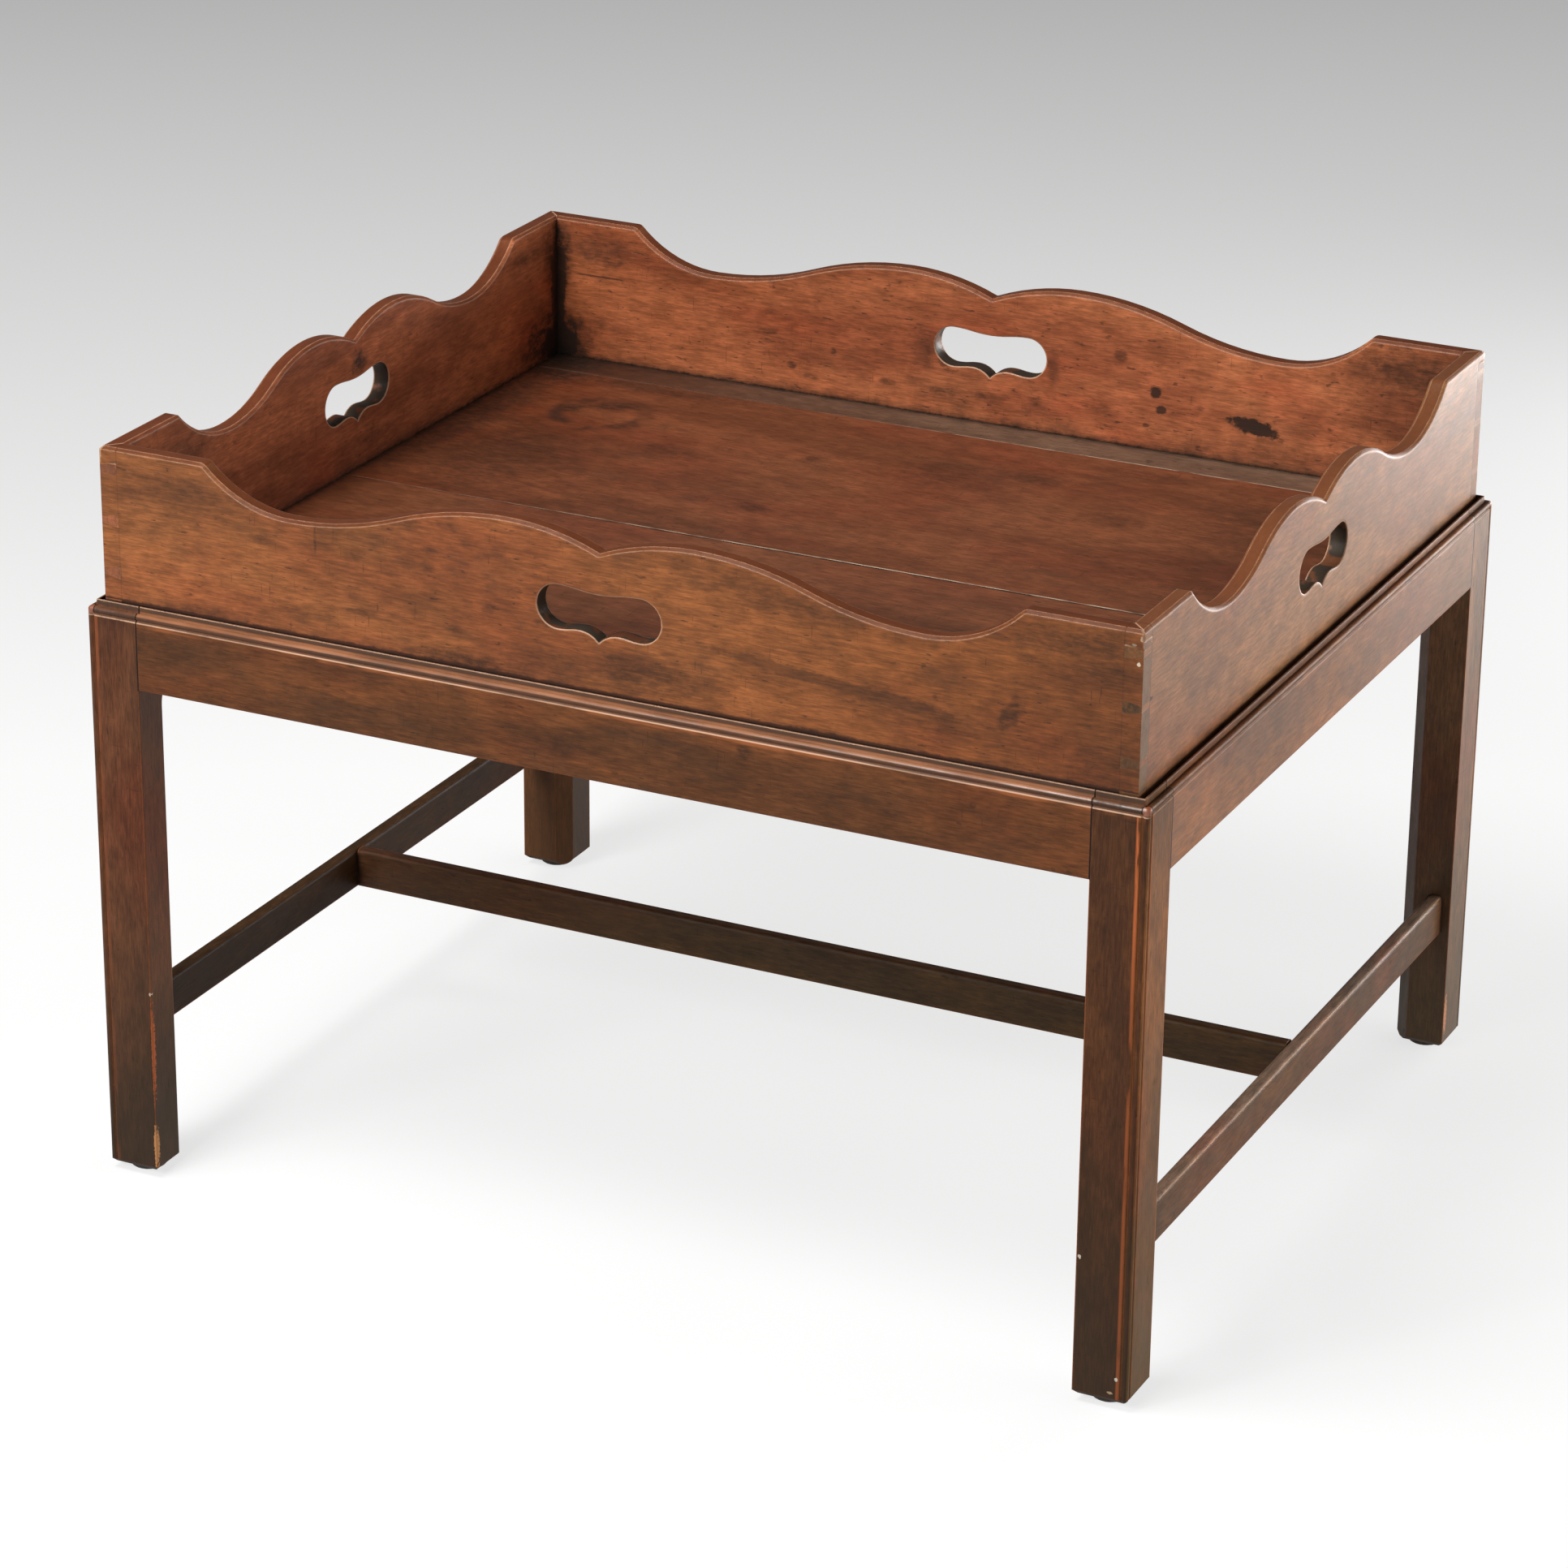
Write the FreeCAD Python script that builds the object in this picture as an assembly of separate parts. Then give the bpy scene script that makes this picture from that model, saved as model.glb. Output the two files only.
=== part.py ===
import FreeCAD, Part
import math
import os
from FreeCAD import Vector

# Tray table: a lift-off tray with a shaped gallery, resting in the moulded top of a fixed stand.
# Millimetres, +Z up, origin on the floor below the middle of the stand. The front faces -Y.

# Stand, overall
STAND_LENGTH = 762.0
STAND_WIDTH = 635.0
LEG_SIZE = 38.0
LEG_FOOT_BEVEL = 3.0
LEG_CHAMFER = 10.2
CHAMFER_RUNOUT = 18.0
CHAMFER_STOP_BELOW_RAIL = 2.0
GLIDE_THICKNESS = 5.0
GLIDE_DIAMETER = 26.0
GLIDE_EDGE_BEVEL = 1.5

# Rails and their top moulding
RAIL_UNDERSIDE = 363.0
RAIL_FACE_HEIGHT = 47.8
RAIL_THICKNESS = 22.0
BEAD_RADIUS = 2.4
QUIRK_WIDTH = 1.3
LIP_SETBACK = 4.9
LIP_WIDTH = 6.0
LIP_RISE = 9.7
LEDGE_DROP = 8.5

# Joints of the stand
TENON_THICKNESS = 8.0
TENON_LENGTH = 14.0
TENON_SETBACK = 7.0
TENON_BOTTOM_SHOULDER = 6.0
TENON_TOP_SHOULDER = 9.0
MORTISE_END_GAP = 1.0

# Stretchers
STRETCHER_UNDERSIDE = 96.0
STRETCHER_HEIGHT = 28.5
STRETCHER_THICKNESS = 11.0
STRETCHER_INSET = 6.5
STRETCHER_ROUND = 3.0
STRETCHER_TENON_THICKNESS = 6.0
STRETCHER_TENON_SHOULDER = 4.0
STRETCHER_TENON_LENGTH = 15.0
CENTRE_TENON_LENGTH = 7.0

# Tray
TRAY_PLAY_LENGTHWISE = 4.5
TRAY_PLAY_CROSSWISE = 1.0
SIDE_THICKNESS = 12.7
SIDE_ARRIS_BEVEL = 2.0
GALLERY_HEIGHT = 116.0
GALLERY_DIP = 28.0
DIP_RUN = 65.0
CORNER_FLAT = 79.0
SHOULDER_RADIUS = 6.0
NOTCH_DROP = 13.5
NOTCH_RADIUS = 1.6
LONG_HUMP_OFFSET = 67.0
SHORT_HUMP_OFFSET = 55.0

# Handholds
HAND_LENGTH = 89.0
HAND_HEIGHT = 30.0
HAND_BOTTOM = 47.5
HAND_SAG = 2.5
HAND_CUSP_DEPTH = 5.0
HAND_WAVE_RISE = 1.5
HAND_WAVE_OFFSET = 14.0

# Dovetails: tails on the long boards, pins on the end boards
PIN_COUNT = 3
PIN_PITCH = 36.0
FIRST_PIN_HEIGHT = 29.0
PIN_NECK = 4.5
DOVETAIL_SLOPE = 6.0
HALF_PIN_HEIGHT = 10.0
MITRE_HEIGHT = 7.0

# Tray floor
FLOOR_THICKNESS = 8.0
FLOOR_REBATE = 6.0
FLOOR_SEAM = 0.5
FRONT_SEAM_Y = -18.0
STRIP_WIDTH = 39.0

# Nails, cut square
NAIL_WIDTH = 2.2
NAIL_LENGTH = 20.0
NAIL_HEAD_WIDTH = 4.2
NAIL_HEAD_THICKNESS = 1.0
NAIL_HEAD_SINK = 0.5
NAIL_HOLE_GAP = 0.1
LONG_SIDE_NAILS = 6
BOARD_END_NAILS = 2
GLIDE_NAIL_HEAD_WIDTH = 7.0
GLIDE_NAIL_HEAD_SINK = 2.0

# Margin by which cutting solids pass the surface that they cut
OVERCUT = 2.0

# Levels and half sizes that follow from the driving dimensions
half_length = STAND_LENGTH / 2
half_width = STAND_WIDTH / 2
rail_face_top = RAIL_UNDERSIDE + RAIL_FACE_HEIGHT
lip_top = rail_face_top + LIP_RISE
ledge = lip_top - LEDGE_DROP
tenon_bottom = RAIL_UNDERSIDE + TENON_BOTTOM_SHOULDER
tenon_top = ledge - TENON_TOP_SHOULDER
stretcher_top = STRETCHER_UNDERSIDE + STRETCHER_HEIGHT
tray_half_length = half_length - LIP_WIDTH - TRAY_PLAY_LENGTHWISE
tray_half_width = half_width - LIP_WIDTH - TRAY_PLAY_CROSSWISE
floor_half_length = tray_half_length - SIDE_THICKNESS + FLOOR_REBATE
floor_half_width = tray_half_width - SIDE_THICKNESS + FLOOR_REBATE
floor_top = ledge + FLOOR_THICKNESS
glide_nail_foot = Vector(LEG_SIZE / 2 - half_length, LEG_SIZE / 2 - half_width, GLIDE_NAIL_HEAD_SINK)

# The bead touches the quirk at these shares of its radius, 60 degrees round from each face
BEAD_NEAR = 1 - math.cos(math.radians(60))
BEAD_FAR = 1 + math.sin(math.radians(60))
bead_zone = BEAD_FAR * BEAD_RADIUS + QUIRK_WIDTH
bead_corner = rail_face_top + bead_zone
bead_axis = bead_corner - BEAD_RADIUS

SIDES = {"left": -1, "right": 1}
ENDS = {"front": -1, "back": 1}


def box(low, high):
    size = Vector(*high) - Vector(*low)
    return Part.makeBox(size.x, size.y, size.z, Vector(*low))


def line(start, end):
    return Part.LineSegment(start, end).toShape()


def arc(start, through, end):
    return Part.Arc(start, through, end).toShape()


def sweep(start, end):
    """Two equal arcs that turn opposite ways and leave both points level."""
    step = end - start
    half_turn = math.atan(abs(step.z / step.x))
    radius = step.Length ** 2 / (4 * abs(step.z))
    bend = Vector(math.copysign(radius * math.sin(half_turn), step.x), 0,
                  math.copysign(radius * (1 - math.cos(half_turn)), step.z))
    middle = start + step / 2
    return [arc(start, start + bend, middle), arc(middle, end - bend, end)]


def prism(edges, travel):
    return Part.Face(Part.Wire(edges)).extrude(travel)


def polygon(points, travel):
    return Part.Face(Part.makePolygon(points + points[:1])).extrude(travel)


def flip(shape, side, end):
    """Carry a solid made for the front left corner to another corner."""
    if side > 0:
        shape = shape.mirror(Vector(0, 0, 0), Vector(1, 0, 0))
    if end > 0:
        shape = shape.mirror(Vector(0, 0, 0), Vector(0, 1, 0))
    return shape


def save(name, shape):
    shape.exportStep(f"parts/{name}.step")


def quirk_points():
    """The two ends of the bead's free arc, as (distance from the face, height)."""
    lower = (BEAD_NEAR * BEAD_RADIUS, bead_corner - BEAD_FAR * BEAD_RADIUS)
    upper = (BEAD_FAR * BEAD_RADIUS, bead_corner - BEAD_NEAR * BEAD_RADIUS)
    return lower, upper


def make_leg():
    """Leg at the front left corner, with its outer corner moved to the origin for the making."""
    near, far = BEAD_NEAR * BEAD_RADIUS, BEAD_FAR * BEAD_RADIUS
    outline = [(LEG_SIZE, 0), (bead_zone, 0), (far, near), (near, far),
               (0, bead_zone), (0, LEG_SIZE), (LEG_SIZE, LEG_SIZE)]
    points = [Vector(x, y, GLIDE_THICKNESS) for x, y in outline]
    leg = polygon(points, Vector(0, 0, lip_top - GLIDE_THICKNESS))

    # Top moulding, cut back on both outer faces
    lower, upper = quirk_points()
    cut = [(-OVERCUT, rail_face_top), (0, rail_face_top), lower, upper,
           (LIP_SETBACK, lip_top), (LIP_SETBACK, lip_top + OVERCUT), (-OVERCUT, lip_top + OVERCUT)]
    run = LEG_SIZE + 2 * OVERCUT
    front_cut = polygon([Vector(-OVERCUT, d, z) for d, z in cut], Vector(run, 0, 0))
    side_cut = polygon([Vector(d, -OVERCUT, z) for d, z in cut], Vector(0, run, 0))
    leg = leg.cut(front_cut).cut(side_cut)

    # Beads up the corner and along both faces, meeting in a ball
    centre = Vector(BEAD_RADIUS, BEAD_RADIUS, bead_axis)
    reach = LEG_SIZE - BEAD_RADIUS
    foot = Vector(BEAD_RADIUS, BEAD_RADIUS, GLIDE_THICKNESS)
    beads = [Part.makeCylinder(BEAD_RADIUS, bead_axis - GLIDE_THICKNESS, foot),
             Part.makeCylinder(BEAD_RADIUS, reach, centre, Vector(1, 0, 0)),
             Part.makeCylinder(BEAD_RADIUS, reach, centre, Vector(0, 1, 0)),
             Part.makeSphere(BEAD_RADIUS, centre)]
    leg = leg.fuse(beads)

    # Ledge that the tray's corner rests on
    leg = leg.cut(box((LIP_WIDTH, LIP_WIDTH, ledge), (run, run, lip_top + OVERCUT)))

    # Stopped chamfer on the inner corner, running out in a curve below the rail
    depth = LEG_CHAMFER / math.sqrt(2)
    stop = RAIL_UNDERSIDE - CHAMFER_STOP_BELOW_RAIL
    straight = stop - CHAMFER_RUNOUT
    radius = (depth ** 2 + CHAMFER_RUNOUT ** 2) / (2 * depth)
    half_turn = math.asin(CHAMFER_RUNOUT / radius) / 2

    def inward(n, z):
        return Vector(LEG_SIZE - n / math.sqrt(2), LEG_SIZE - n / math.sqrt(2), z)

    low = GLIDE_THICKNESS - OVERCUT
    middle = inward(depth - radius * (1 - math.cos(half_turn)), straight + radius * math.sin(half_turn))
    edges = [line(inward(-OVERCUT, low), inward(depth, low)),
             line(inward(depth, low), inward(depth, straight)),
             arc(inward(depth, straight), middle, inward(0, stop)),
             line(inward(0, stop), inward(-OVERCUT, stop)),
             line(inward(-OVERCUT, stop), inward(-OVERCUT, low))]
    across = Vector(1, -1, 0) * LEG_CHAMFER
    chamfer = prism(edges, across * 2)
    chamfer.translate(across * -1)
    leg = leg.cut(chamfer)

    # Bevels round the foot
    bevel_reach = LEG_FOOT_BEVEL + OVERCUT
    bevel = [(-OVERCUT, -OVERCUT), (bevel_reach, -OVERCUT), (-OVERCUT, bevel_reach)]
    for turn in range(4):
        wedge = polygon([Vector(-OVERCUT, d, GLIDE_THICKNESS + z) for d, z in bevel], Vector(run, 0, 0))
        wedge.rotate(Vector(LEG_SIZE / 2, LEG_SIZE / 2, 0), Vector(0, 0, 1), 90 * turn)
        leg = leg.cut(wedge)

    # Mortises for two rails and a stretcher
    depth = TENON_LENGTH + MORTISE_END_GAP
    near, far = TENON_SETBACK, TENON_SETBACK + TENON_THICKNESS
    start, end = LEG_SIZE - depth, LEG_SIZE + OVERCUT
    leg = leg.cut(box((start, near, tenon_bottom), (end, far, tenon_top)))
    leg = leg.cut(box((near, start, tenon_bottom), (far, end, tenon_top)))
    near = STRETCHER_INSET + (STRETCHER_THICKNESS - STRETCHER_TENON_THICKNESS) / 2
    start = LEG_SIZE - STRETCHER_TENON_LENGTH - MORTISE_END_GAP
    leg = leg.cut(box((near, start, STRETCHER_UNDERSIDE + STRETCHER_TENON_SHOULDER),
                      (near + STRETCHER_TENON_THICKNESS, end, stretcher_top - STRETCHER_TENON_SHOULDER)))
    leg.translate(Vector(-half_length, -half_width, 0))
    hole = make_nail_hole(glide_nail_foot, GLIDE_NAIL_HEAD_WIDTH, GLIDE_NAIL_HEAD_SINK)
    return leg.cut(hole).removeSplitter()


def make_rail(span, half_depth):
    """Rail along X whose outer face stands at -half_depth, with a tenon at each end."""
    half_span = span / 2 - LEG_SIZE

    def at(distance, height):
        return Vector(-half_span, distance - half_depth, height)

    lower, upper = quirk_points()
    crown = BEAD_RADIUS * (1 - 1 / math.sqrt(2))
    edges = [line(at(0, RAIL_UNDERSIDE), at(0, rail_face_top)),
             line(at(0, rail_face_top), at(*lower)),
             arc(at(*lower), at(crown, bead_corner - crown), at(*upper)),
             line(at(*upper), at(LIP_SETBACK, lip_top)),
             line(at(LIP_SETBACK, lip_top), at(LIP_WIDTH, lip_top)),
             line(at(LIP_WIDTH, lip_top), at(LIP_WIDTH, ledge)),
             line(at(LIP_WIDTH, ledge), at(RAIL_THICKNESS, ledge)),
             line(at(RAIL_THICKNESS, ledge), at(RAIL_THICKNESS, RAIL_UNDERSIDE)),
             line(at(RAIL_THICKNESS, RAIL_UNDERSIDE), at(0, RAIL_UNDERSIDE))]
    rail = prism(edges, Vector(2 * half_span, 0, 0))
    reach = half_span + TENON_LENGTH
    near = TENON_SETBACK - half_depth
    tenons = box((-reach, near, tenon_bottom), (reach, near + TENON_THICKNESS, tenon_top))
    return rail.fuse(tenons).removeSplitter()


def make_stretcher(half_span, tenon_length):
    """Stretcher along X about its own middle, with rounded upper edges and a stub tenon at each end."""
    half = STRETCHER_THICKNESS / 2
    low, high = STRETCHER_UNDERSIDE, stretcher_top
    crest, flank = half - STRETCHER_ROUND, high - STRETCHER_ROUND
    turn = STRETCHER_ROUND * (1 - 1 / math.sqrt(2))

    def at(y, z):
        return Vector(-half_span, y, z)

    edges = [line(at(-half, low), at(-half, flank)),
             arc(at(-half, flank), at(turn - half, high - turn), at(-crest, high)),
             line(at(-crest, high), at(crest, high)),
             arc(at(crest, high), at(half - turn, high - turn), at(half, flank)),
             line(at(half, flank), at(half, low)),
             line(at(half, low), at(-half, low))]
    bar = prism(edges, Vector(2 * half_span, 0, 0))
    reach = half_span + tenon_length
    cheek = STRETCHER_TENON_THICKNESS / 2
    tenons = box((-reach, -cheek, low + STRETCHER_TENON_SHOULDER),
                 (reach, cheek, high - STRETCHER_TENON_SHOULDER))
    return bar.fuse(tenons).removeSplitter()


def make_glide():
    """Felt glide under the front left leg, recessed for the head of its nail."""
    middle = Vector(glide_nail_foot.x, glide_nail_foot.y, 0)
    radius = GLIDE_DIAMETER / 2
    rim = Part.makeCone(radius - GLIDE_EDGE_BEVEL, radius, GLIDE_EDGE_BEVEL, middle)
    rim_top = middle + Vector(0, 0, GLIDE_EDGE_BEVEL)
    body = Part.makeCylinder(radius, GLIDE_THICKNESS - GLIDE_EDGE_BEVEL, rim_top)
    hole = make_nail_hole(glide_nail_foot, GLIDE_NAIL_HEAD_WIDTH, GLIDE_NAIL_HEAD_SINK)
    return rim.fuse(body).cut(hole).removeSplitter()


def make_post(foot, width, low, high):
    """Square post that stands over a point, between two heights above it."""
    half = width / 2
    return box((foot.x - half, foot.y - half, foot.z + low), (foot.x + half, foot.y + half, foot.z + high))


def make_nail(foot, head_width):
    """Nail driven upwards, with the underside of its head at the given point."""
    head = make_post(foot, head_width, 0, NAIL_HEAD_THICKNESS)
    return head.fuse(make_post(foot, NAIL_WIDTH, 0, NAIL_HEAD_THICKNESS + NAIL_LENGTH)).removeSplitter()


def make_nail_hole(foot, head_width, sink):
    """What a nail and its sunk head take out of the pieces that it holds."""
    tip = NAIL_HEAD_THICKNESS + NAIL_LENGTH + NAIL_HOLE_GAP
    recess = make_post(foot, head_width + 2 * NAIL_HOLE_GAP, -sink - OVERCUT, NAIL_HEAD_THICKNESS)
    return recess.fuse(make_post(foot, NAIL_WIDTH + 2 * NAIL_HOLE_GAP, 0, tip))


def gallery_half(half, hump_offset):
    """Edges of the shaped top from the notch to the right hand corner, as curves in the XZ plane."""
    top, dip = GALLERY_HEIGHT, GALLERY_HEIGHT - GALLERY_DIP
    shoulder = half - CORNER_FLAT
    low = shoulder - DIP_RUN

    # Hump: an arc that is level at its crest and falls to the notch
    hump_radius = (hump_offset ** 2 + NOTCH_DROP ** 2) / (2 * NOTCH_DROP)
    # Small round in the bottom of the notch, tangent to both humps
    centre_height = top - hump_radius + math.sqrt((hump_radius + NOTCH_RADIUS) ** 2 - hump_offset ** 2)
    notch_turn = math.asin(hump_offset / (hump_radius + NOTCH_RADIUS))

    def on_hump(angle):
        return Vector(hump_offset - hump_radius * math.sin(angle), 0,
                      top - hump_radius * (1 - math.cos(angle)))

    def in_notch(angle):
        return Vector(NOTCH_RADIUS * math.sin(angle), 0, centre_height - NOTCH_RADIUS * math.cos(angle))

    # Dip: an arc that is level at its lowest point and climbs to the shoulder
    dip_radius = (DIP_RUN ** 2 + GALLERY_DIP ** 2) / (2 * GALLERY_DIP)

    def in_dip(angle):
        return Vector(low + dip_radius * math.sin(angle), 0, dip + dip_radius * (1 - math.cos(angle)))

    # Round of the shoulder, tangent to the dip's arc and to the level corner
    round_centre_height = top - SHOULDER_RADIUS
    climb = dip + dip_radius - round_centre_height
    round_centre = low + math.sqrt((dip_radius + SHOULDER_RADIUS) ** 2 - climb ** 2)
    round_turn = math.acos(climb / (dip_radius + SHOULDER_RADIUS))

    def on_shoulder(angle):
        return Vector(round_centre - SHOULDER_RADIUS * math.sin(angle), 0,
                      round_centre_height + SHOULDER_RADIUS * math.cos(angle))

    crest, bottom = on_hump(0), in_dip(0)
    return [arc(in_notch(0), in_notch(notch_turn / 2), in_notch(notch_turn)),
            arc(in_notch(notch_turn), on_hump(notch_turn / 2), crest),
            *sweep(crest, bottom),
            arc(bottom, in_dip(round_turn / 2), on_shoulder(round_turn)),
            arc(on_shoulder(round_turn), on_shoulder(round_turn / 2), on_shoulder(0)),
            line(on_shoulder(0), Vector(half, 0, top))]


def mirrored(edges):
    return [e.mirror(Vector(0, 0, 0), Vector(1, 0, 0)) for e in edges]


def handhold_half():
    """Edges of the right half of a handhold, from the cusp below round to the middle of its top."""
    radius = HAND_HEIGHT / 2
    lobe = HAND_LENGTH / 2 - radius
    top = HAND_BOTTOM + HAND_HEIGHT
    cusp = Vector(0, 0, HAND_BOTTOM - HAND_CUSP_DEPTH)
    wave = Vector(HAND_WAVE_OFFSET, 0, HAND_BOTTOM + HAND_WAVE_RISE)
    rise = HAND_CUSP_DEPTH + HAND_WAVE_RISE
    wave_radius = (HAND_WAVE_OFFSET ** 2 + rise ** 2) / (2 * rise)
    half_turn = math.asin(HAND_WAVE_OFFSET / wave_radius) / 2
    on_wave = wave - Vector(wave_radius * math.sin(half_turn), 0, wave_radius * (1 - math.cos(half_turn)))
    lobe_low, lobe_high = Vector(lobe, 0, HAND_BOTTOM), Vector(lobe, 0, top)
    lobe_end = Vector(HAND_LENGTH / 2, 0, HAND_BOTTOM + radius)
    sag = Vector(0, 0, top - HAND_SAG)
    return [arc(cusp, on_wave, wave),
            *sweep(wave, lobe_low),
            arc(lobe_low, lobe_end, lobe_high),
            *sweep(lobe_high, sag)]


def make_gallery_blank(half, hump_offset):
    """Board along X with its outer face on Y = 0, before its dovetails and rebate are cut."""
    right = gallery_half(half, hump_offset)
    low_left, low_right = Vector(-half, 0, 0), Vector(half, 0, 0)
    corner_height = Vector(0, 0, GALLERY_HEIGHT)
    ends = [line(low_left, low_right),
            line(low_right, low_right + corner_height),
            line(low_left, low_left + corner_height)]
    edges = Part.__sortEdges__(ends + right + mirrored(right))
    board = prism(edges, Vector(0, SIDE_THICKNESS, 0))
    lowest = GALLERY_HEIGHT - GALLERY_DIP - OVERCUT
    top_edges = [e for e in board.Edges
                 if e.BoundBox.ZMin > lowest and e.BoundBox.YLength < OVERCUT]
    board = board.makeChamfer(SIDE_ARRIS_BEVEL, top_edges)
    hold = handhold_half()
    hole = prism(Part.__sortEdges__(hold + mirrored(hold)), Vector(0, SIDE_THICKNESS + 2 * OVERCUT, 0))
    hole.translate(Vector(0, -OVERCUT, 0))
    return board.cut(hole)


def make_pins():
    """What the end board fills in the front left corner: pins, a half pin below and its half mitre above."""
    flare = SIDE_THICKNESS / DOVETAIL_SLOPE
    travel = Vector(0, SIDE_THICKNESS, 0)
    solids = [box((0, 0, 0), (SIDE_THICKNESS, SIDE_THICKNESS, HALF_PIN_HEIGHT))]
    for index in range(PIN_COUNT):
        height = FIRST_PIN_HEIGHT + index * PIN_PITCH
        neck, root = PIN_NECK / 2, PIN_NECK / 2 + flare
        outline = [(0, height - neck), (SIDE_THICKNESS, height - root),
                   (SIDE_THICKNESS, height + root), (0, height + neck)]
        solids.append(polygon([Vector(x, 0, z) for x, z in outline], travel))
    low = GALLERY_HEIGHT - MITRE_HEIGHT
    outline = [(0, 0), (SIDE_THICKNESS, SIDE_THICKNESS), (0, SIDE_THICKNESS)]
    solids.append(polygon([Vector(x, y, low) for x, y in outline], Vector(0, 0, MITRE_HEIGHT + OVERCUT)))
    pins = solids[0].fuse(solids[1:])
    pins.translate(Vector(-tray_half_length, -tray_half_width, ledge))
    return pins


def make_corner():
    low = (-tray_half_length, -tray_half_width, ledge)
    high = (SIDE_THICKNESS - tray_half_length, SIDE_THICKNESS - tray_half_width,
            ledge + GALLERY_HEIGHT + OVERCUT)
    return box(low, high)


def nail_places():
    """Floor nails: along both long sides, and at both ends of each floor board."""
    inset = SIDE_THICKNESS - FLOOR_REBATE / 2
    places = []
    pitch = 2 * tray_half_length / LONG_SIDE_NAILS
    for end in ENDS.values():
        for index in range(LONG_SIDE_NAILS):
            places.append(((index + 0.5) * pitch - tray_half_length, end * (tray_half_width - inset)))
    for side in SIDES.values():
        for low, high in floor_bounds().values():
            count = BOARD_END_NAILS if high - low > 2 * STRIP_WIDTH else 1
            for index in range(count):
                y = low + (high - low) * (index + 0.5) / count
                places.append((side * (tray_half_length - inset), y))
    return places


def floor_bounds():
    """Where each floor board lies across the tray."""
    strip_seam = floor_half_width - STRIP_WIDTH
    half_seam = FLOOR_SEAM / 2
    return {"front": (-floor_half_width, FRONT_SEAM_Y - half_seam),
            "middle": (FRONT_SEAM_Y + half_seam, strip_seam - half_seam),
            "strip": (strip_seam + half_seam, floor_half_width)}


def build_stand():
    leg, glide = make_leg(), make_glide()
    glide_nails = []
    nail = make_nail(glide_nail_foot, GLIDE_NAIL_HEAD_WIDTH)
    for end_name, end in ENDS.items():
        for side_name, side in SIDES.items():
            save(f"leg_{end_name}_{side_name}", flip(leg, side, end))
            save(f"glide_{end_name}_{side_name}", flip(glide, side, end))
            glide_nails.append(flip(nail, side, end))
    save("glide_nails", Part.makeCompound(glide_nails))

    for name, end in ENDS.items():
        save(f"rail_{name}", flip(make_rail(STAND_LENGTH, half_width), -1, end))
    end_rail = make_rail(STAND_WIDTH, half_length)
    end_rail.rotate(Vector(0, 0, 0), Vector(0, 0, 1), -90)
    for name, side in SIDES.items():
        save(f"rail_{name}", flip(end_rail, side, -1))

    low, high = STRETCHER_UNDERSIDE + STRETCHER_TENON_SHOULDER, stretcher_top - STRETCHER_TENON_SHOULDER
    inner_face = half_length - STRETCHER_INSET - STRETCHER_THICKNESS
    cheek = STRETCHER_TENON_THICKNESS / 2
    mortise_end = inner_face + CENTRE_TENON_LENGTH + MORTISE_END_GAP
    side_bar = make_stretcher(half_width - LEG_SIZE, STRETCHER_TENON_LENGTH)
    side_bar.rotate(Vector(0, 0, 0), Vector(0, 0, 1), 90)
    side_bar.translate(Vector(STRETCHER_INSET + STRETCHER_THICKNESS / 2 - half_length, 0, 0))
    side_bar = side_bar.cut(box((-mortise_end, -cheek, low), (-inner_face + OVERCUT, cheek, high)))
    for name, side in SIDES.items():
        save(f"stretcher_{name}", flip(side_bar, side, -1))
    save("stretcher_centre", make_stretcher(inner_face, CENTRE_TENON_LENGTH))


def build_tray():
    feet = [Vector(x, y, ledge + NAIL_HEAD_SINK) for x, y in nail_places()]
    save("tray_floor_nails", Part.makeCompound([make_nail(foot, NAIL_HEAD_WIDTH) for foot in feet]))
    holes = Part.makeCompound([make_nail_hole(foot, NAIL_HEAD_WIDTH, NAIL_HEAD_SINK) for foot in feet])

    for name, (low, high) in floor_bounds().items():
        board = box((-floor_half_length, low, ledge), (floor_half_length, high, floor_top))
        save(f"tray_floor_{name}", board.cut(holes))

    rebate = box((-floor_half_length, -floor_half_width, ledge - OVERCUT),
                 (floor_half_length, floor_half_width, floor_top))
    pin, corner = make_pins(), make_corner()
    tail = corner.cut(pin)

    long_board = make_gallery_blank(tray_half_length, LONG_HUMP_OFFSET)
    long_board.translate(Vector(0, -tray_half_width, ledge))
    end_board = make_gallery_blank(tray_half_width, SHORT_HUMP_OFFSET)
    end_board.rotate(Vector(0, 0, 0), Vector(0, 0, 1), -90)
    end_board.translate(Vector(-tray_half_length, 0, ledge))
    for name, end in ENDS.items():
        taken = [flip(pin, side, end) for side in SIDES.values()]
        save(f"tray_{name}", flip(long_board, -1, end).cut(taken + [rebate, holes]))
    for name, side in SIDES.items():
        taken = [flip(tail, side, end) for end in ENDS.values()]
        save(f"tray_{name}_end", flip(end_board, side, -1).cut(taken + [rebate, holes]))


os.makedirs("parts", exist_ok=True)
build_stand()
build_tray()
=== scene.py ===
import math

import bpy
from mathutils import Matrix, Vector, noise


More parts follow.
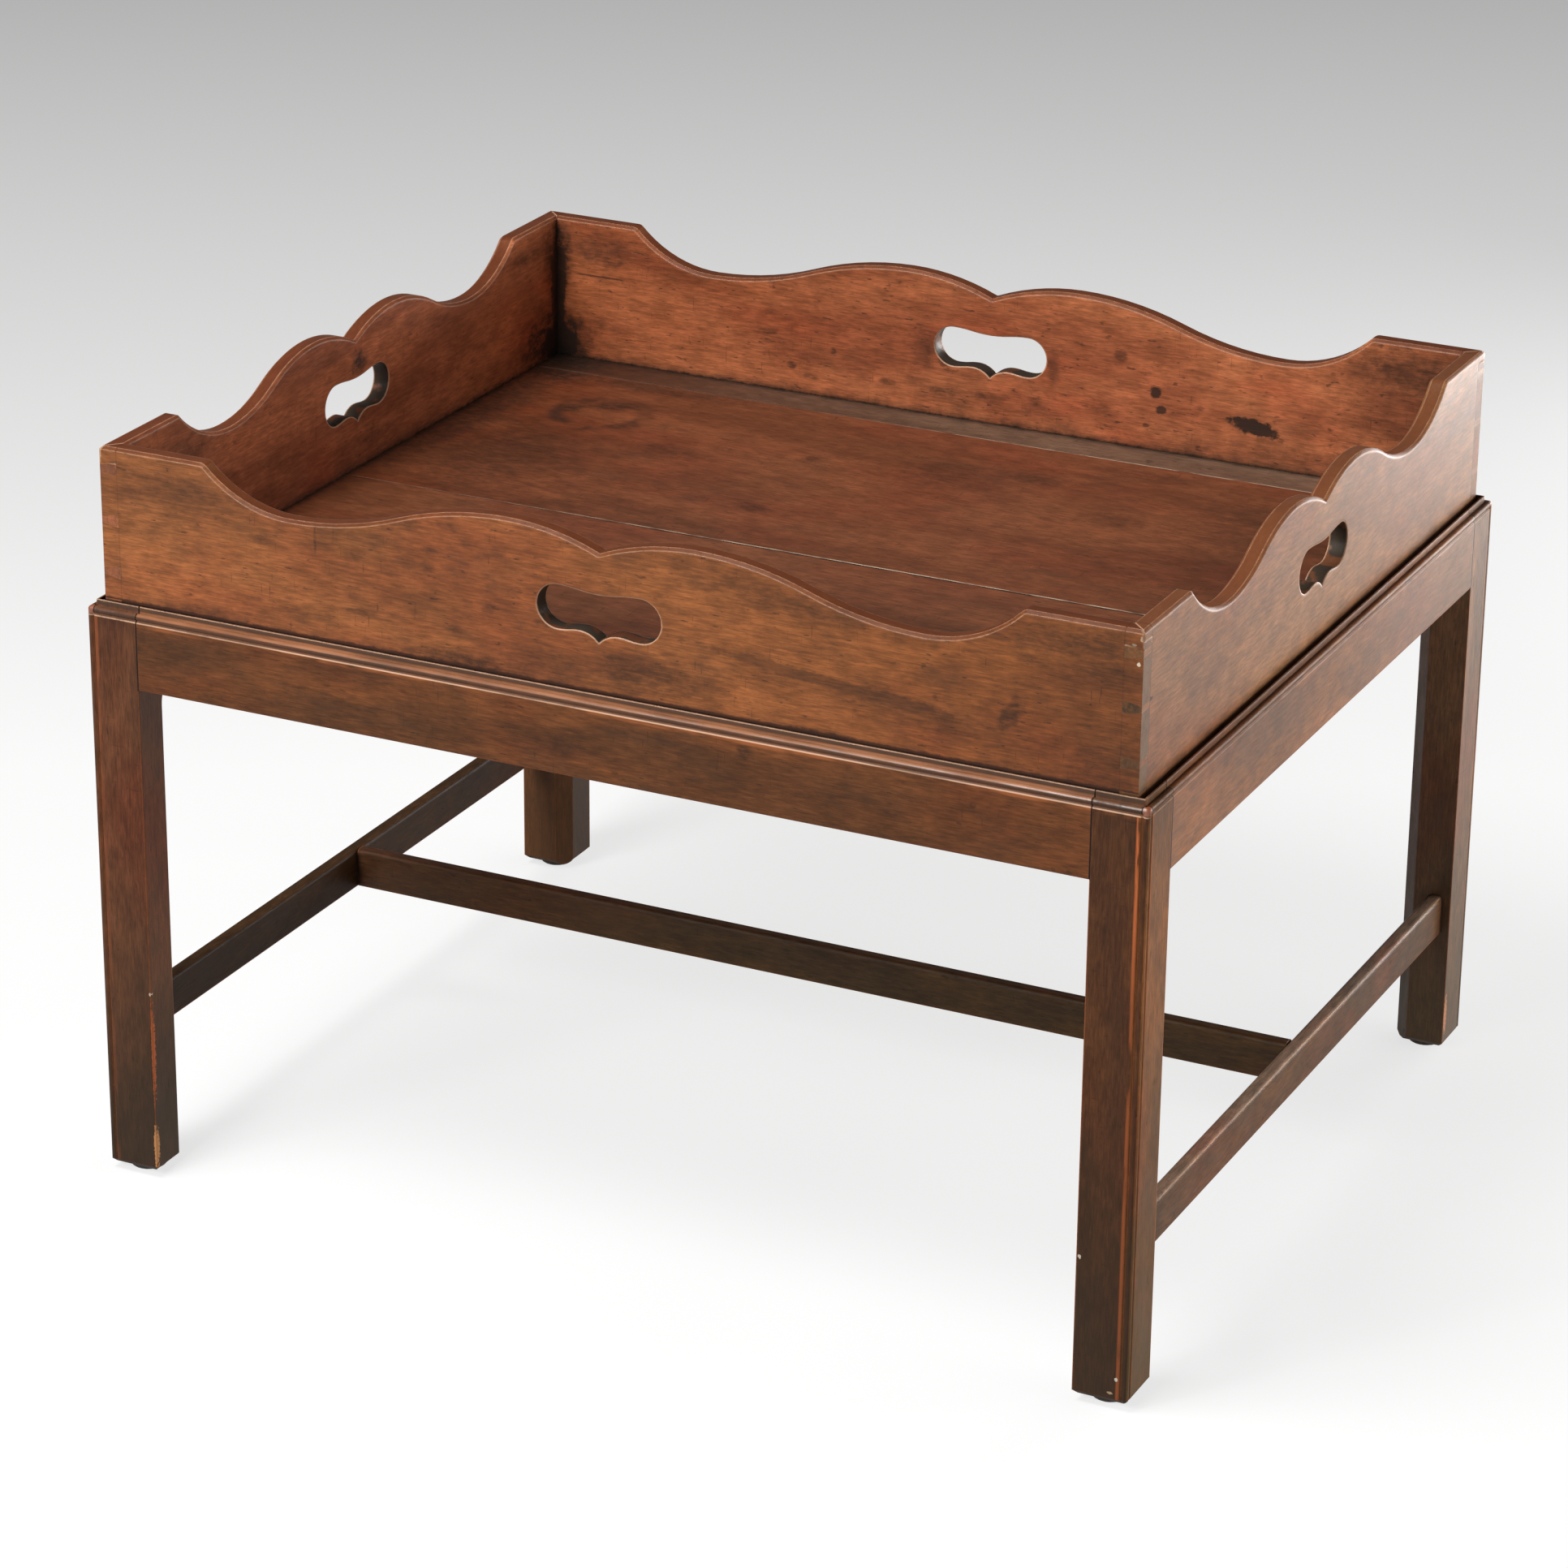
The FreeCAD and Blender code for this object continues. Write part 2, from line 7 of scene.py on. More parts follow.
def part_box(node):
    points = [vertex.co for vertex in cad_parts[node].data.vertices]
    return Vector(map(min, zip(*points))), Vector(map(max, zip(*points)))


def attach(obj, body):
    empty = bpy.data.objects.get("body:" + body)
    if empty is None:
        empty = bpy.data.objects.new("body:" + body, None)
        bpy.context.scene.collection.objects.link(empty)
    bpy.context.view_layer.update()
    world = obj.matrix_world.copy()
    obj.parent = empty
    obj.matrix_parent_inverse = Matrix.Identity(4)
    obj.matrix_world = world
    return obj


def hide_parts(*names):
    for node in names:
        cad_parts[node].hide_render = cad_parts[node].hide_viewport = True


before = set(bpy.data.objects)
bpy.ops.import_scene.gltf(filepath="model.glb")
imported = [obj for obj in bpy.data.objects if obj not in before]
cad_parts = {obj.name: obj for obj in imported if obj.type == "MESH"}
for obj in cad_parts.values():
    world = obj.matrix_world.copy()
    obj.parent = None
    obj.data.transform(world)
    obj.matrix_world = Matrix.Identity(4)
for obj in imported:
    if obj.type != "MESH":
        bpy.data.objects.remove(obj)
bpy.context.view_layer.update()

# Old mahogany tray table: worn, polished boards on a darker stand with felt glides.
# Metres, in the frame of the solids: +X to the right, +Y to the back, +Z up.
X, Y, Z = 0, 1, 2
AXES = ((1, 0, 0), (0, 1, 0), (0, 0, 1))

# Camera, at the photograph's viewing angle
CAMERA_PLACE = (1.4585, -3.0512, 1.6464)
CAMERA_TURN_DEGREES = (67.4719, -0.5409, 26.0631)
CAMERA_LENS_MM = 120.49
CAMERA_SENSOR_MM = 36.0

# Floor: white near the object, greyer towards the back of the view
FLOOR_HALF_SIZE = 40.0
FLOOR_AWAY = (-0.4358, 0.9000, 0.0)
FLOOR_FADE_START = 0.6
FLOOR_FADE_END = 3.4
FLOOR_NEAR_COLOUR = (1.0, 1.0, 1.0, 1.0)
FLOOR_FAR_COLOUR = (0.53, 0.53, 0.53, 1.0)
FLOOR_BOUNCE_COLOUR = (0.26, 0.245, 0.22, 1.0)
FLOOR_OWN_LIGHT = 0.7
FLOOR_MIRRORED_SHARE = 0.57

# Lamps: name, place, point aimed at, width, height, watts
LAMPS = (
    ("softbox_front", (-0.9, -3.3, 2.3), (0.0, 0.0, 0.35), 2.0, 1.6, 95.0),
    ("softbox_top", (-0.7, -1.1, 2.8), (0.0, 0.0, 0.4), 1.0, 1.0, 45.0),
    ("card_right_back", (1.0, 1.9, 0.36), (0.37, 0.1, 0.42), 1.3, 0.7, 26.0),
    ("card_right", (2.9, 0.6, 0.6), (0.3, 0.0, 0.35), 2.4, 1.0, 46.0),
)
WORLD_COLOUR = (1.0, 0.97, 0.92, 1.0)
WORLD_STRENGTH = 0.15
WORLD_SEEN_STRENGTH = 0.55
WORLD_MIRRORED_SHARE = 0.05

# Faces of the tray, from the solids
FRONT_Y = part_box("tray_front")[0].y
BACK_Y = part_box("tray_back")[0].y
LEFT_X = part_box("tray_left_end")[1].x
RIGHT_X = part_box("tray_right_end")[1].x
FLOOR_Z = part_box("tray_floor_middle")[1].z
FRONT_SEAM_Y, BACK_SEAM_Y = [corner.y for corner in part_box("tray_floor_middle")]
GALLERY_TOP_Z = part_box("tray_front")[1].z
INNER_X, INNER_Y = abs(LEFT_X), abs(BACK_Y)

# Faces of the stand, from the solids
HALF_X, HALF_Y = -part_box("leg_front_left")[0].x, -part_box("leg_front_left")[0].y
RAIL_END_X, RAIL_END_Y = abs(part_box("leg_front_left")[1].x), abs(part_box("leg_front_left")[1].y)
RAIL_LOW_Z, RAIL_TOP_Z = [corner.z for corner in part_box("rail_front")]

# Seams between flush pieces: axis across them, place, lowest height, half width, darkness
TAIL_JOINT = (X, INNER_X, 0.0, 0.0004, 0.20)
PIN_JOINT = (Y, INNER_Y, 0.0, 0.0004, 0.50)
X_JOINT = (X, RAIL_END_X, RAIL_LOW_Z, 0.0005, 0.85)
Y_JOINT = (Y, RAIL_END_Y, RAIL_LOW_Z, 0.0005, 0.85)

# The dovetailed corners stay sharp up to this far below the gallery's top
CORNER_DROP = 0.010

# Heights up to which the painted shade of the gap round the tray reaches on its boards
FRONT_GAP_SHADE_Z = 0.4238
INNER_GAP_SHADE_Z = 0.4214
GAP_SHADE_BLUR = 0.0016

# Soft borders of the handholds' walls: half length, and height of their tops
HANDHOLD_REACH = (0.052, 0.047)
HANDHOLD_TOP_Z = (0.498, 0.492)

# Bands of the stand's moulding, as heights above its base
MOULDING_BASE_Z = RAIL_TOP_Z - 0.0097
UNDER_BEAD = (0.0006, 0.0042)
LOW_QUIRK = (0.0004, 0.0013)
HIGH_QUIRK = (0.0066, 0.0092)
BEAD_TOP = (0.0043, 0.0066)
BEAD_CREST = (0.0030, 0.0060)
RUBBED_BELOW = (-0.0028, 0.0003)
LINE_BELOW = (-0.0006, 0.0003)
LOW_ARRIS = (-0.0008, 0.0005)
HIGH_ARRIS = (0.0086, 0.0090)
BALL_BAND = (0.0008, 0.0062)
NOTCH_BAND = (0.0, 0.0062)

# Depths behind the stand's outline: moulding and ball with soft borders, notch, bead on a leg's corner
MOULDING_DEPTH = (0.0056, 0.0052)
BALL_DEPTH = (0.0048, 0.0044)
NOTCH_DEPTHS = (0.0047, 0.0056)
CORNER_BEAD_DEPTH = 0.0058

# Depth of a spot into its face, and the shift of each piece's patterns per unit of its seed
SPOT_DEPTH = 0.004
SEED_SHIFT = (1.37, 0.71, 2.13)


def tone(red, green, blue):
    """Linear colour of a picture's 0 to 255 levels."""
    def level(value):
        share = value / 255
        return share / 12.92 if share <= 0.04045 else ((share + 0.055) / 1.055) ** 2.4
    return level(red), level(green), level(blue), 1.0


VEIL_TONE = tone(64, 45, 32)
STAIN_TONE = tone(38, 27, 20)
# Dirt in corners, together with painted shade there
DIRT_AND_SHADE_TONE = tone(26, 20, 16)
# Dark seams, and painted shade in the notches beside a corner ball
SEAM_AND_SHADE_TONE = tone(22, 15, 12)
# Painted shade of the gap between tray and rail
GAP_SHADE_TONE = tone(56, 28, 15)
HANDHOLD_TONE = tone(54, 51, 45)
TAIL_TONE = tone(122, 98, 68)
PIN_TONE = tone(72, 58, 42)
FOOT_TONE = tone(52, 44, 33)
CHIP_TONE = tone(222, 205, 180)
GALLERY_TOP_TONE = tone(94, 49, 31)
RIGHT_TOP_TONE = tone(116, 68, 45)
# Pale worn arrises of the tray: wear and painted highlight
TRAY_WEAR_AND_HIGHLIGHT_TONE = tone(240, 190, 154)
# Painted shade in each quirk and on the bead's underside
BEAD_SHADE_TONE = tone(80, 63, 52)
# Worn top of the bead, lighter also as painted light from above
BEAD_WEAR_AND_LIGHT_TONE = tone(166, 110, 74)
BARE_TONE = tone(210, 114, 66)
BALL_TONE = tone(150, 84, 52)
# Pale line and arrises of the moulding: wear and painted highlight
ARRIS_WEAR_AND_HIGHLIGHT_TONE = tone(232, 186, 152)
STAND_WEAR_TONE = tone(186, 108, 64)


class Shader:
    """Short ways to add one material's nodes; a value is a socket, a number or a tuple."""

    def __init__(self, name):
        self.material = bpy.data.materials.new(name)
        self.material.use_nodes = True
        self.tree = self.material.node_tree
        self.tree.nodes.clear()

    def node(self, kind, inputs=None, **settings):
        node = self.tree.nodes.new(kind)
        for key, value in settings.items():
            setattr(node, key, value)
        for key, value in (inputs or {}).items():
            if isinstance(value, bpy.types.NodeSocket):
                self.tree.links.new(value, node.inputs[key])
            else:
                node.inputs[key].default_value = value
        return node

    def math(self, operation, first, second=0.0):
        return self.node("ShaderNodeMath", {0: first, 1: second}, operation=operation).outputs[0]

    def times(self, *values):
        product = values[0]
        for value in values[1:]:
            product = self.math("MULTIPLY", product, value)
        return product

    def most(self, *values):
        highest = values[0]
        for value in values[1:]:
            highest = self.math("MAXIMUM", highest, value)
        return highest

    def without(self, value):
        return self.math("SUBTRACT", 1.0, value)

    def vector(self, operation, first, second):
        node = self.node("ShaderNodeVectorMath", {0: first, 1: second}, operation=operation)
        return node.outputs["Value" if operation == "DOT_PRODUCT" else "Vector"]

    def along(self, vector, axis):
        return self.vector("DOT_PRODUCT", vector, AXES[axis])

    def scaled(self, vector, factor):
        inputs = {"Vector": vector, "Scale": factor}
        return self.node("ShaderNodeVectorMath", inputs, operation="SCALE").outputs["Vector"]

    def step(self, value, start, end, low=0.0, high=1.0):
        """Smooth change from low to high while value goes from start to end."""
        inputs = {"Value": value, "From Min": start, "From Max": end, "To Min": low, "To Max": high}
        return self.node("ShaderNodeMapRange", inputs, interpolation_type="SMOOTHSTEP").outputs["Result"]

    def between(self, value, low, high, blur):
        """1 where the value lies between low and high."""
        rise = self.step(value, low - blur, low + blur)
        return self.times(rise, self.step(value, high + blur, high - blur))

    def noise(self, vector, scale, detail=3.0, roughness=0.5, distortion=0.0):
        inputs = {"Vector": vector, "Scale": scale, "Detail": detail, "Roughness": roughness,
                  "Distortion": distortion}
        return self.node("ShaderNodeTexNoise", inputs).outputs[0]

    def mix(self, factor, first, second):
        node = self.node("ShaderNodeMix", data_type="RGBA")
        for index, value in ((0, factor), (6, first), (7, second)):
            if isinstance(value, bpy.types.NodeSocket):
                self.tree.links.new(value, node.inputs[index])
            else:
                node.inputs[index].default_value = value
        return node.outputs[2]

    def spot(self, place, centre, radii, tilt=0.0):
        """Distance from the middle of an ellipsoid, as a share of its radii."""
        turn = [0.0, 0.0, 0.0]
        turn[radii.index(min(radii))] = math.radians(tilt)
        inputs = {"Vector": place, "Location": centre, "Rotation": turn, "Scale": radii}
        local = self.node("ShaderNodeMapping", inputs, vector_type="TEXTURE").outputs[0]
        return self.node("ShaderNodeVectorMath", {0: local}, operation="LENGTH").outputs["Value"]

    def finish(self, surface):
        output = self.node("ShaderNodeOutputMaterial")
        self.tree.links.new(surface, output.inputs["Surface"])
        return self.material


class Wood(Shader):
    """Old polished wood with its grain along one axis; each add method works in one trait."""

    def __init__(self, name, grain, seed, wear_and_highlight_tone):
        super().__init__(name)
        self.grain = grain
        self.wear_and_highlight_tone = wear_and_highlight_tone
        self.place = self.node("ShaderNodeTexCoord").outputs["Object"]
        self.normal = self.node("ShaderNodeNewGeometry").outputs["Normal"]
        self.height = self.along(self.place, Z)
        self.upward = self.along(self.normal, Z)
        self.from_middle = [self.math("ABSOLUTE", self.along(self.place, axis)) for axis in (X, Y)]
        self.shifted = self.vector("ADD", self.place, tuple(seed * share for share in SEED_SHIFT))
        self.ragged = self.noise(self.shifted, 130.0, 4.0, 0.65)
        self.colour = None
        self.gap = None
        self.crest = None
        self.dulled = []

    def drawn(self, share):
        """Coordinates in which patterns are drawn out along the grain."""
        factors = [1.0, 1.0, 1.0]
        factors[self.grain] = share
        return self.vector("MULTIPLY", self.shifted, tuple(factors))

    def facing(self, axis, sign):
        """1 on faces that look along the axis in the direction of the sign."""
        return self.step(self.times(self.along(self.normal, axis), sign), 0.5, 0.8)

    def spotted(self, centre, radii, tilt, strength, soft):
        """Ragged spot, with a wider edge the softer it is."""
        rim = self.times(self.ragged, 1.4)
        reach = self.math("ADD", self.spot(self.place, centre, radii, tilt), rim)
        return self.step(reach, 1.8 + 0.35 * soft, 1.6 - 0.65 * soft, 0.0, strength)

    def blend(self, share, tint):
        self.colour = self.mix(share, self.colour, tint)

    def shade(self, factor):
        self.colour = self.scaled(self.colour, factor)

    def add_figure(self, light, dark, red):
        """Broad figure, redder areas, soft mottling and the short lines of the grain."""
        figure = self.noise(self.drawn(0.22), 17.0, 3.0, 0.55, 0.7)
        self.colour = self.mix(self.step(figure, 0.34, 0.66), dark, light)
        redness = self.noise(self.drawn(0.5), 11.0, 3.0, 0.55)
        self.blend(self.step(redness, 0.46, 0.68, 0.0, 0.7), red)
        mottle = self.noise(self.drawn(0.6), 75.0, 5.0, 0.65)
        self.shade(self.step(mottle, 0.3, 0.7, 0.80, 1.18))
        self.line = self.noise(self.drawn(0.13), 470.0, 3.0, 0.6, 0.15)
        self.shade(self.step(self.line, 0.3, 0.7, 0.78, 1.16))
        self.fibre = self.noise(self.drawn(0.08), 1300.0, 2.0, 0.6)
        self.shade(self.step(self.fibre, 0.3, 0.7, 0.80, 1.16))

    def add_fade(self, axis, start, end, low, high, side):
        """Change of tone along an axis, on all faces or only on those of one side."""
        share = self.step(self.along(self.place, axis), start, end)
        faded = self.vector("MULTIPLY", self.colour, self.mix(share, (*low, 1.0), (*high, 1.0)))
        self.colour = self.mix(self.facing(*side), self.colour, faded) if side else faded

    def add_shades(self, shades):
        """Lighter and darker patches."""
        for shade in shades:
            self.shade(self.math("ADD", 1.0, self.spotted(*shade)))

    def add_age(self, veil, flecks, scratches):
        """Darkened old polish, small smudges, dents and scratches."""
        patches = self.step(self.noise(self.shifted, 13.0, 2.0), 0.44, 0.60)
        veiled = self.step(self.noise(self.drawn(0.55), 30.0, 6.0, 0.66), 0.50, 0.74, 0.0, veil)
        self.blend(veiled, VEIL_TONE)
        smudges = self.step(self.noise(self.drawn(0.45), 150.0, 3.0, 0.6), 0.62, 0.74)
        smudges = self.times(smudges, patches, flecks)
        sparse = 0.72 - 0.1 * flecks
        dents = self.step(self.noise(self.drawn(0.28), 430.0, 2.0), sparse, sparse + 0.08, 0.0, flecks)
        cross = [0.07, 0.07, 0.07]
        cross[self.grain] = 1.0
        cuts = self.noise(self.vector("MULTIPLY", self.shifted, tuple(cross)), 900.0, 2.0, 0.5, 0.2)
        cuts = self.times(self.step(cuts, 0.66, 0.74, 0.0, scratches), self.without(patches))
        self.hollows = self.most(dents, cuts)
        self.stained = self.most(smudges, dents, cuts)

    def add_stains(self, stains, rings):
        """Spots of dark stain, blotchy unless they are sharp, and rings left by wet vessels."""
        blotchy = self.step(self.noise(self.drawn(0.5), 260.0, 3.0, 0.65), 0.36, 0.62, 0.5, 1.0)
        for stain in stains:
            mark = self.spotted(*stain)
            soft = stain[-1]
            if soft > 0.3:
                mark = self.times(mark, blotchy)
            self.stained = self.most(self.stained, mark)
        for centre, radius, strength in rings:
            off = self.math("SUBTRACT", self.spot(self.place, centre, (radius, radius, 0.1)), 1.0)
            band = self.step(self.math("ABSOLUTE", off), 0.32, 0.05, 0.0, strength)
            broken = self.step(self.noise(self.shifted, 30.0, 2.0), 0.38, 0.58, 0.15, 1.0)
            self.stained = self.most(self.stained, self.times(band, broken, self.facing(Z, 1)))
        self.blend(self.stained, STAIN_TONE)

    def add_foot(self, low, high, strength):
        """Darker towards the floor."""
        level = self.math("ADD", self.height, self.times(self.ragged, 0.05))
        self.blend(self.step(level, high, low, 0.0, strength), FOOT_TONE)

    def add_face_light_and_shade(self, face_light_and_shade):
        """Faces painted lighter or darker: painted light and shade."""
        for axis, sign, tint in face_light_and_shade:
            self.blend(self.facing(axis, sign), self.vector("MULTIPLY", self.colour, tint))

    def add_top(self, tint):
        """Upper edges, rubbed dull."""
        self.blend(self.step(self.upward, 0.5, 0.8, 0.0, 0.85), tint)
        self.dulled.append(self.step(self.upward, 0.5, 0.8, 1.0, 0.15))

    def add_gap_shade(self, highest):
        """Lower edge painted dark as shade in the gap between tray and rail."""
        uneven = self.times(self.math("SUBTRACT", self.ragged, 0.5), 0.003)
        level = self.math("ADD", self.height, uneven)
        self.blend(self.step(level, highest, highest - GAP_SHADE_BLUR, 0.0, 0.9), GAP_SHADE_TONE)

    def add_sawn_ends(self, tint, share):
        """Sawn ends are darker and greyer than the faces."""
        across = self.math("ABSOLUTE", self.along(self.normal, self.grain))
        patchy = self.step(self.ragged, 0.38, 0.58, 0.5, 1.0)
        self.blend(self.times(self.step(across, 0.6, 0.85, 0.0, share), patchy), tint)

    def find_edges(self, wear, round_over):
        """Worn arrises, pale partly as painted highlight, by how far a rounded normal leaves the face's
        own.
        """
        self.rounded = self.node("ShaderNodeBevel", {"Radius": round_over}, samples=6).outputs[0]
        nearby = self.node("ShaderNodeAmbientOcclusion", {"Distance": 0.014}, samples=8)
        self.open_air = nearby.outputs["AO"]
        edge = self.without(self.vector("DOT_PRODUCT", self.rounded, self.normal))
        broken = self.math("SUBTRACT", self.noise(self.shifted, 210.0, 3.0, 0.6), 0.5)
        worn = self.step(self.math("ADD", edge, self.times(broken, 0.16)), 0.06, 0.18)
        self.worn = self.times(worn, self.step(self.open_air, 0.4, 0.65, 0.0, wear))

    def add_joints(self, joints):
        """Dark seams between flush pieces, without worn edges."""
        for axis, position, lowest, half_width, strength in joints:
            offset = self.math("ABSOLUTE", self.math("SUBTRACT", self.from_middle[axis], position))
            near = self.step(offset, half_width * 1.6, half_width * 0.5)
            near = self.times(near, self.step(self.height, lowest - 0.001, lowest))
            self.worn = self.times(self.worn, self.without(near))
            shut = self.times(near, strength)
            self.blend(shut, SEAM_AND_SHADE_TONE)
            self.gap = shut if self.gap is None else self.most(self.gap, shut)

    def keep_corners(self, half_x, half_y, highest):
        """No wear and no rounding where boards meet in a dovetailed corner."""
        beyond_x = self.step(self.from_middle[X], half_x - 0.0016, half_x - 0.0010)
        beyond_y = self.step(self.from_middle[Y], half_y - 0.0016, half_y - 0.0010)
        jointed = self.times(beyond_x, beyond_y, self.step(self.height, highest, highest - 0.002))
        self.worn = self.times(self.worn, self.without(jointed))
        rounded = self.scaled(self.rounded, self.without(jointed))
        self.rounded = self.vector("ADD", rounded, self.scaled(self.normal, jointed))

    def add_handhold(self, along_axis, through_axis):
        """Walls of the handhold, dark and smooth from use."""
        through = self.math("ABSOLUTE", self.along(self.normal, through_axis))
        patchy = self.step(self.noise(self.shifted, 60.0), 0.62, 0.52, 0.25, 0.9)
        wall = self.times(self.step(self.from_middle[along_axis], *HANDHOLD_REACH),
                          self.step(through, 0.6, 0.4), self.step(self.height, *HANDHOLD_TOP_Z), patchy)
        self.blend(wall, HANDHOLD_TONE)
        self.dulled.append(self.step(wall, 0.0, 0.9, 1.0, 0.3))

    def add_moulding(self):
        """Moulding round the stand, plainer on the sides than on the front and back."""
        self.level = self.math("SUBTRACT", self.height, MOULDING_BASE_Z)
        self.depth_x = self.math("SUBTRACT", HALF_X, self.from_middle[X])
        self.depth_y = self.math("SUBTRACT", HALF_Y, self.from_middle[Y])
        self.outside = self.step(self.math("MINIMUM", self.depth_x, self.depth_y), *MOULDING_DEPTH)
        nearer_end = self.math("SUBTRACT", self.depth_y, self.depth_x)
        self.frontal = self.step(nearer_end, 0.0005, -0.0005, 0.35, 1.0)
        self.streaks = self.noise(self.drawn(0.2), 90.0, 3.0, 0.6)
        self.add_bead()
        self.add_rubbed_lines()
        self.add_bare_arrises()
        self.add_corner_ball()
        self.sideways = self.times(self.outside, self.step(self.level, -0.0014, -0.0006),
                                   self.step(self.frontal, 1.0, 0.35))
        self.worn = self.times(self.worn, self.step(self.sideways, 0.0, 1.0, 1.0, 0.5))

    def on_moulding(self, band, blur):
        return self.times(self.between(self.level, *band, blur), self.outside, self.frontal)

    def add_bead(self):
        """Painted shade in each quirk and on the bead's underside, painted light with wear on the bead's
        top, and a bright crest.
        """
        # Painted shade on the bead's underside and in each quirk
        shaded_underside = self.times(self.between(self.level, *UNDER_BEAD, 0.0003),
                           self.step(self.upward, 0.42, 0.28))
        shaded_quirks = self.most(self.times(shaded_underside, 0.7), self.between(self.level, *LOW_QUIRK, 0.0002),
                           self.between(self.level, *HIGH_QUIRK, 0.0004))
        self.blend(self.times(shaded_quirks, self.outside, self.frontal, 0.75), BEAD_SHADE_TONE)
        # Top of the bead: wear and painted light from above
        share = 0.2 if self.grain == Z else 0.95
        lit_worn_bead_top = self.times(self.on_moulding(BEAD_TOP, 0.0004),
                         self.step(self.streaks, 0.35, 0.65, share * 0.4, share))
        self.blend(lit_worn_bead_top, BEAD_WEAR_AND_LIGHT_TONE)
        slope = self.math("ABSOLUTE", self.math("SUBTRACT", self.upward, 0.42))
        self.crest = self.times(self.on_moulding(BEAD_CREST, 0.0003), self.step(slope, 0.34, 0.16),
                                self.step(self.along(self.place, X), -0.1, 0.28, 0.35, 1.0),
                                self.step(self.noise(self.drawn(0.25), 60.0, 2.0), 0.38, 0.58, 0.4, 1.0))

    def add_rubbed_lines(self):
        """Orange wear, and a pale line below the moulding and pale arrises on it, which are wear and
        painted highlight.
        """
        share = 0.15 if self.grain == Z else 0.55
        rubbed = self.times(self.on_moulding(RUBBED_BELOW, 0.0008),
                            self.step(self.streaks, 0.45, 0.65, 0.0, share))
        self.blend(rubbed, self.wear_and_highlight_tone)
        line = self.times(self.on_moulding(LINE_BELOW, 0.0002),
                          self.step(self.streaks, 0.32, 0.58, 0.25, 0.75))
        self.blend(line, ARRIS_WEAR_AND_HIGHLIGHT_TONE)
        arris = self.most(self.between(self.level, *LOW_ARRIS, 0.0002),
                          self.step(self.level, *HIGH_ARRIS))
        self.wear_and_highlight_tone = self.mix(self.times(arris, self.frontal), self.wear_and_highlight_tone, ARRIS_WEAR_AND_HIGHLIGHT_TONE)

    def add_bare_arrises(self):
        """Arrises beside the bead of a leg's corner, rubbed to bare orange wood."""
        start = CORNER_BEAD_DEPTH
        beside_x = self.times(self.between(self.depth_x, start, start + 0.0022, 0.0006),
                              self.step(self.depth_y, 0.001, 0.0003))
        beside_y = self.times(self.between(self.depth_y, start, start + 0.0010, 0.0004),
                              self.step(self.depth_x, 0.001, 0.0003, 0.0, 0.6))
        broken = self.step(self.noise(self.drawn(0.12), 140.0, 3.0, 0.6), 0.36, 0.52)
        bare = self.times(self.most(beside_x, beside_y), broken,
                          self.step(self.height, 0.26, 0.40, 0.4, 1.0),
                          self.step(self.level, 0.0, -0.001),
                          self.step(self.along(self.place, X), -0.36, 0.34, 0.25, 0.95))
        self.blend(bare, BARE_TONE)

    def add_corner_ball(self):
        """Bright ball where the moulding turns a corner, with notches in painted shade and dark seams
        beside it.
        """
        farther = self.math("MAXIMUM", self.depth_x, self.depth_y)
        ball = self.times(self.step(farther, *BALL_DEPTH), self.between(self.level, *BALL_BAND, 0.0002))
        self.blend(self.times(ball, 0.8), BALL_TONE)
        self.crest = self.most(self.times(self.crest, self.step(farther, 0.0050, 0.0056)), ball)
        # Notch beside the ball: painted shade
        notch_shade = self.times(self.between(farther, *NOTCH_DEPTHS, 0.0002), self.outside,
                           self.between(self.level, *NOTCH_BAND, 0.0002))
        self.blend(self.times(notch_shade, 0.8), SEAM_AND_SHADE_TONE)
        self.blend(self.gap, SEAM_AND_SHADE_TONE)
        self.crest = self.times(self.crest, self.without(self.gap))

    def add_open_seams(self, seams):
        """Broken lines along an open seam, from a start in X, bright where its edge was rubbed."""
        for position, half_width, strength, start, tint in seams:
            offset = self.math("ABSOLUTE", self.math("SUBTRACT", self.along(self.place, Y), position))
            seam = self.times(self.step(offset, half_width * 1.5, half_width * 0.6, 0.0, strength),
                              self.step(self.noise(self.drawn(0.3), 160.0, 3.0), 0.36, 0.56, 0.15, 1.0),
                              self.step(self.along(self.place, X), start, start + 0.3, 0.1, 1.0))
            self.blend(seam, tint)

    def add_chips(self, chips):
        """Small chips and flecks with a jagged edge."""
        jagged = self.times(self.noise(self.shifted, 620.0, 2.0, 0.6), 1.6)
        for centre, radii, tint in chips:
            reach = self.math("ADD", self.spot(self.place, centre, radii), jagged)
            self.blend(self.step(reach, 1.85, 1.55), tint)

    def add_corner_dirt_and_shade(self, corner_dirt_and_shade, has_moulding):
        """Dirt that gathers in corners, with painted shade there from ambient occlusion; less on the
        moulding.
        """
        uneven = self.times(self.math("SUBTRACT", self.ragged, 0.5), 0.3)
        patchy = self.math("ADD", self.open_air, uneven)
        self.dirt_and_shade = self.step(patchy, 0.78, 0.38, 0.0, corner_dirt_and_shade)
        if has_moulding:
            cleaner = self.times(self.outside, self.step(self.level, -0.001, 0.0))
            self.dirt_and_shade = self.times(self.dirt_and_shade, self.step(cleaner, 0.0, 1.0, 1.0, 0.35))
        # Dirty corners, darkened also as painted shade
        self.blend(self.dirt_and_shade, DIRT_AND_SHADE_TONE)

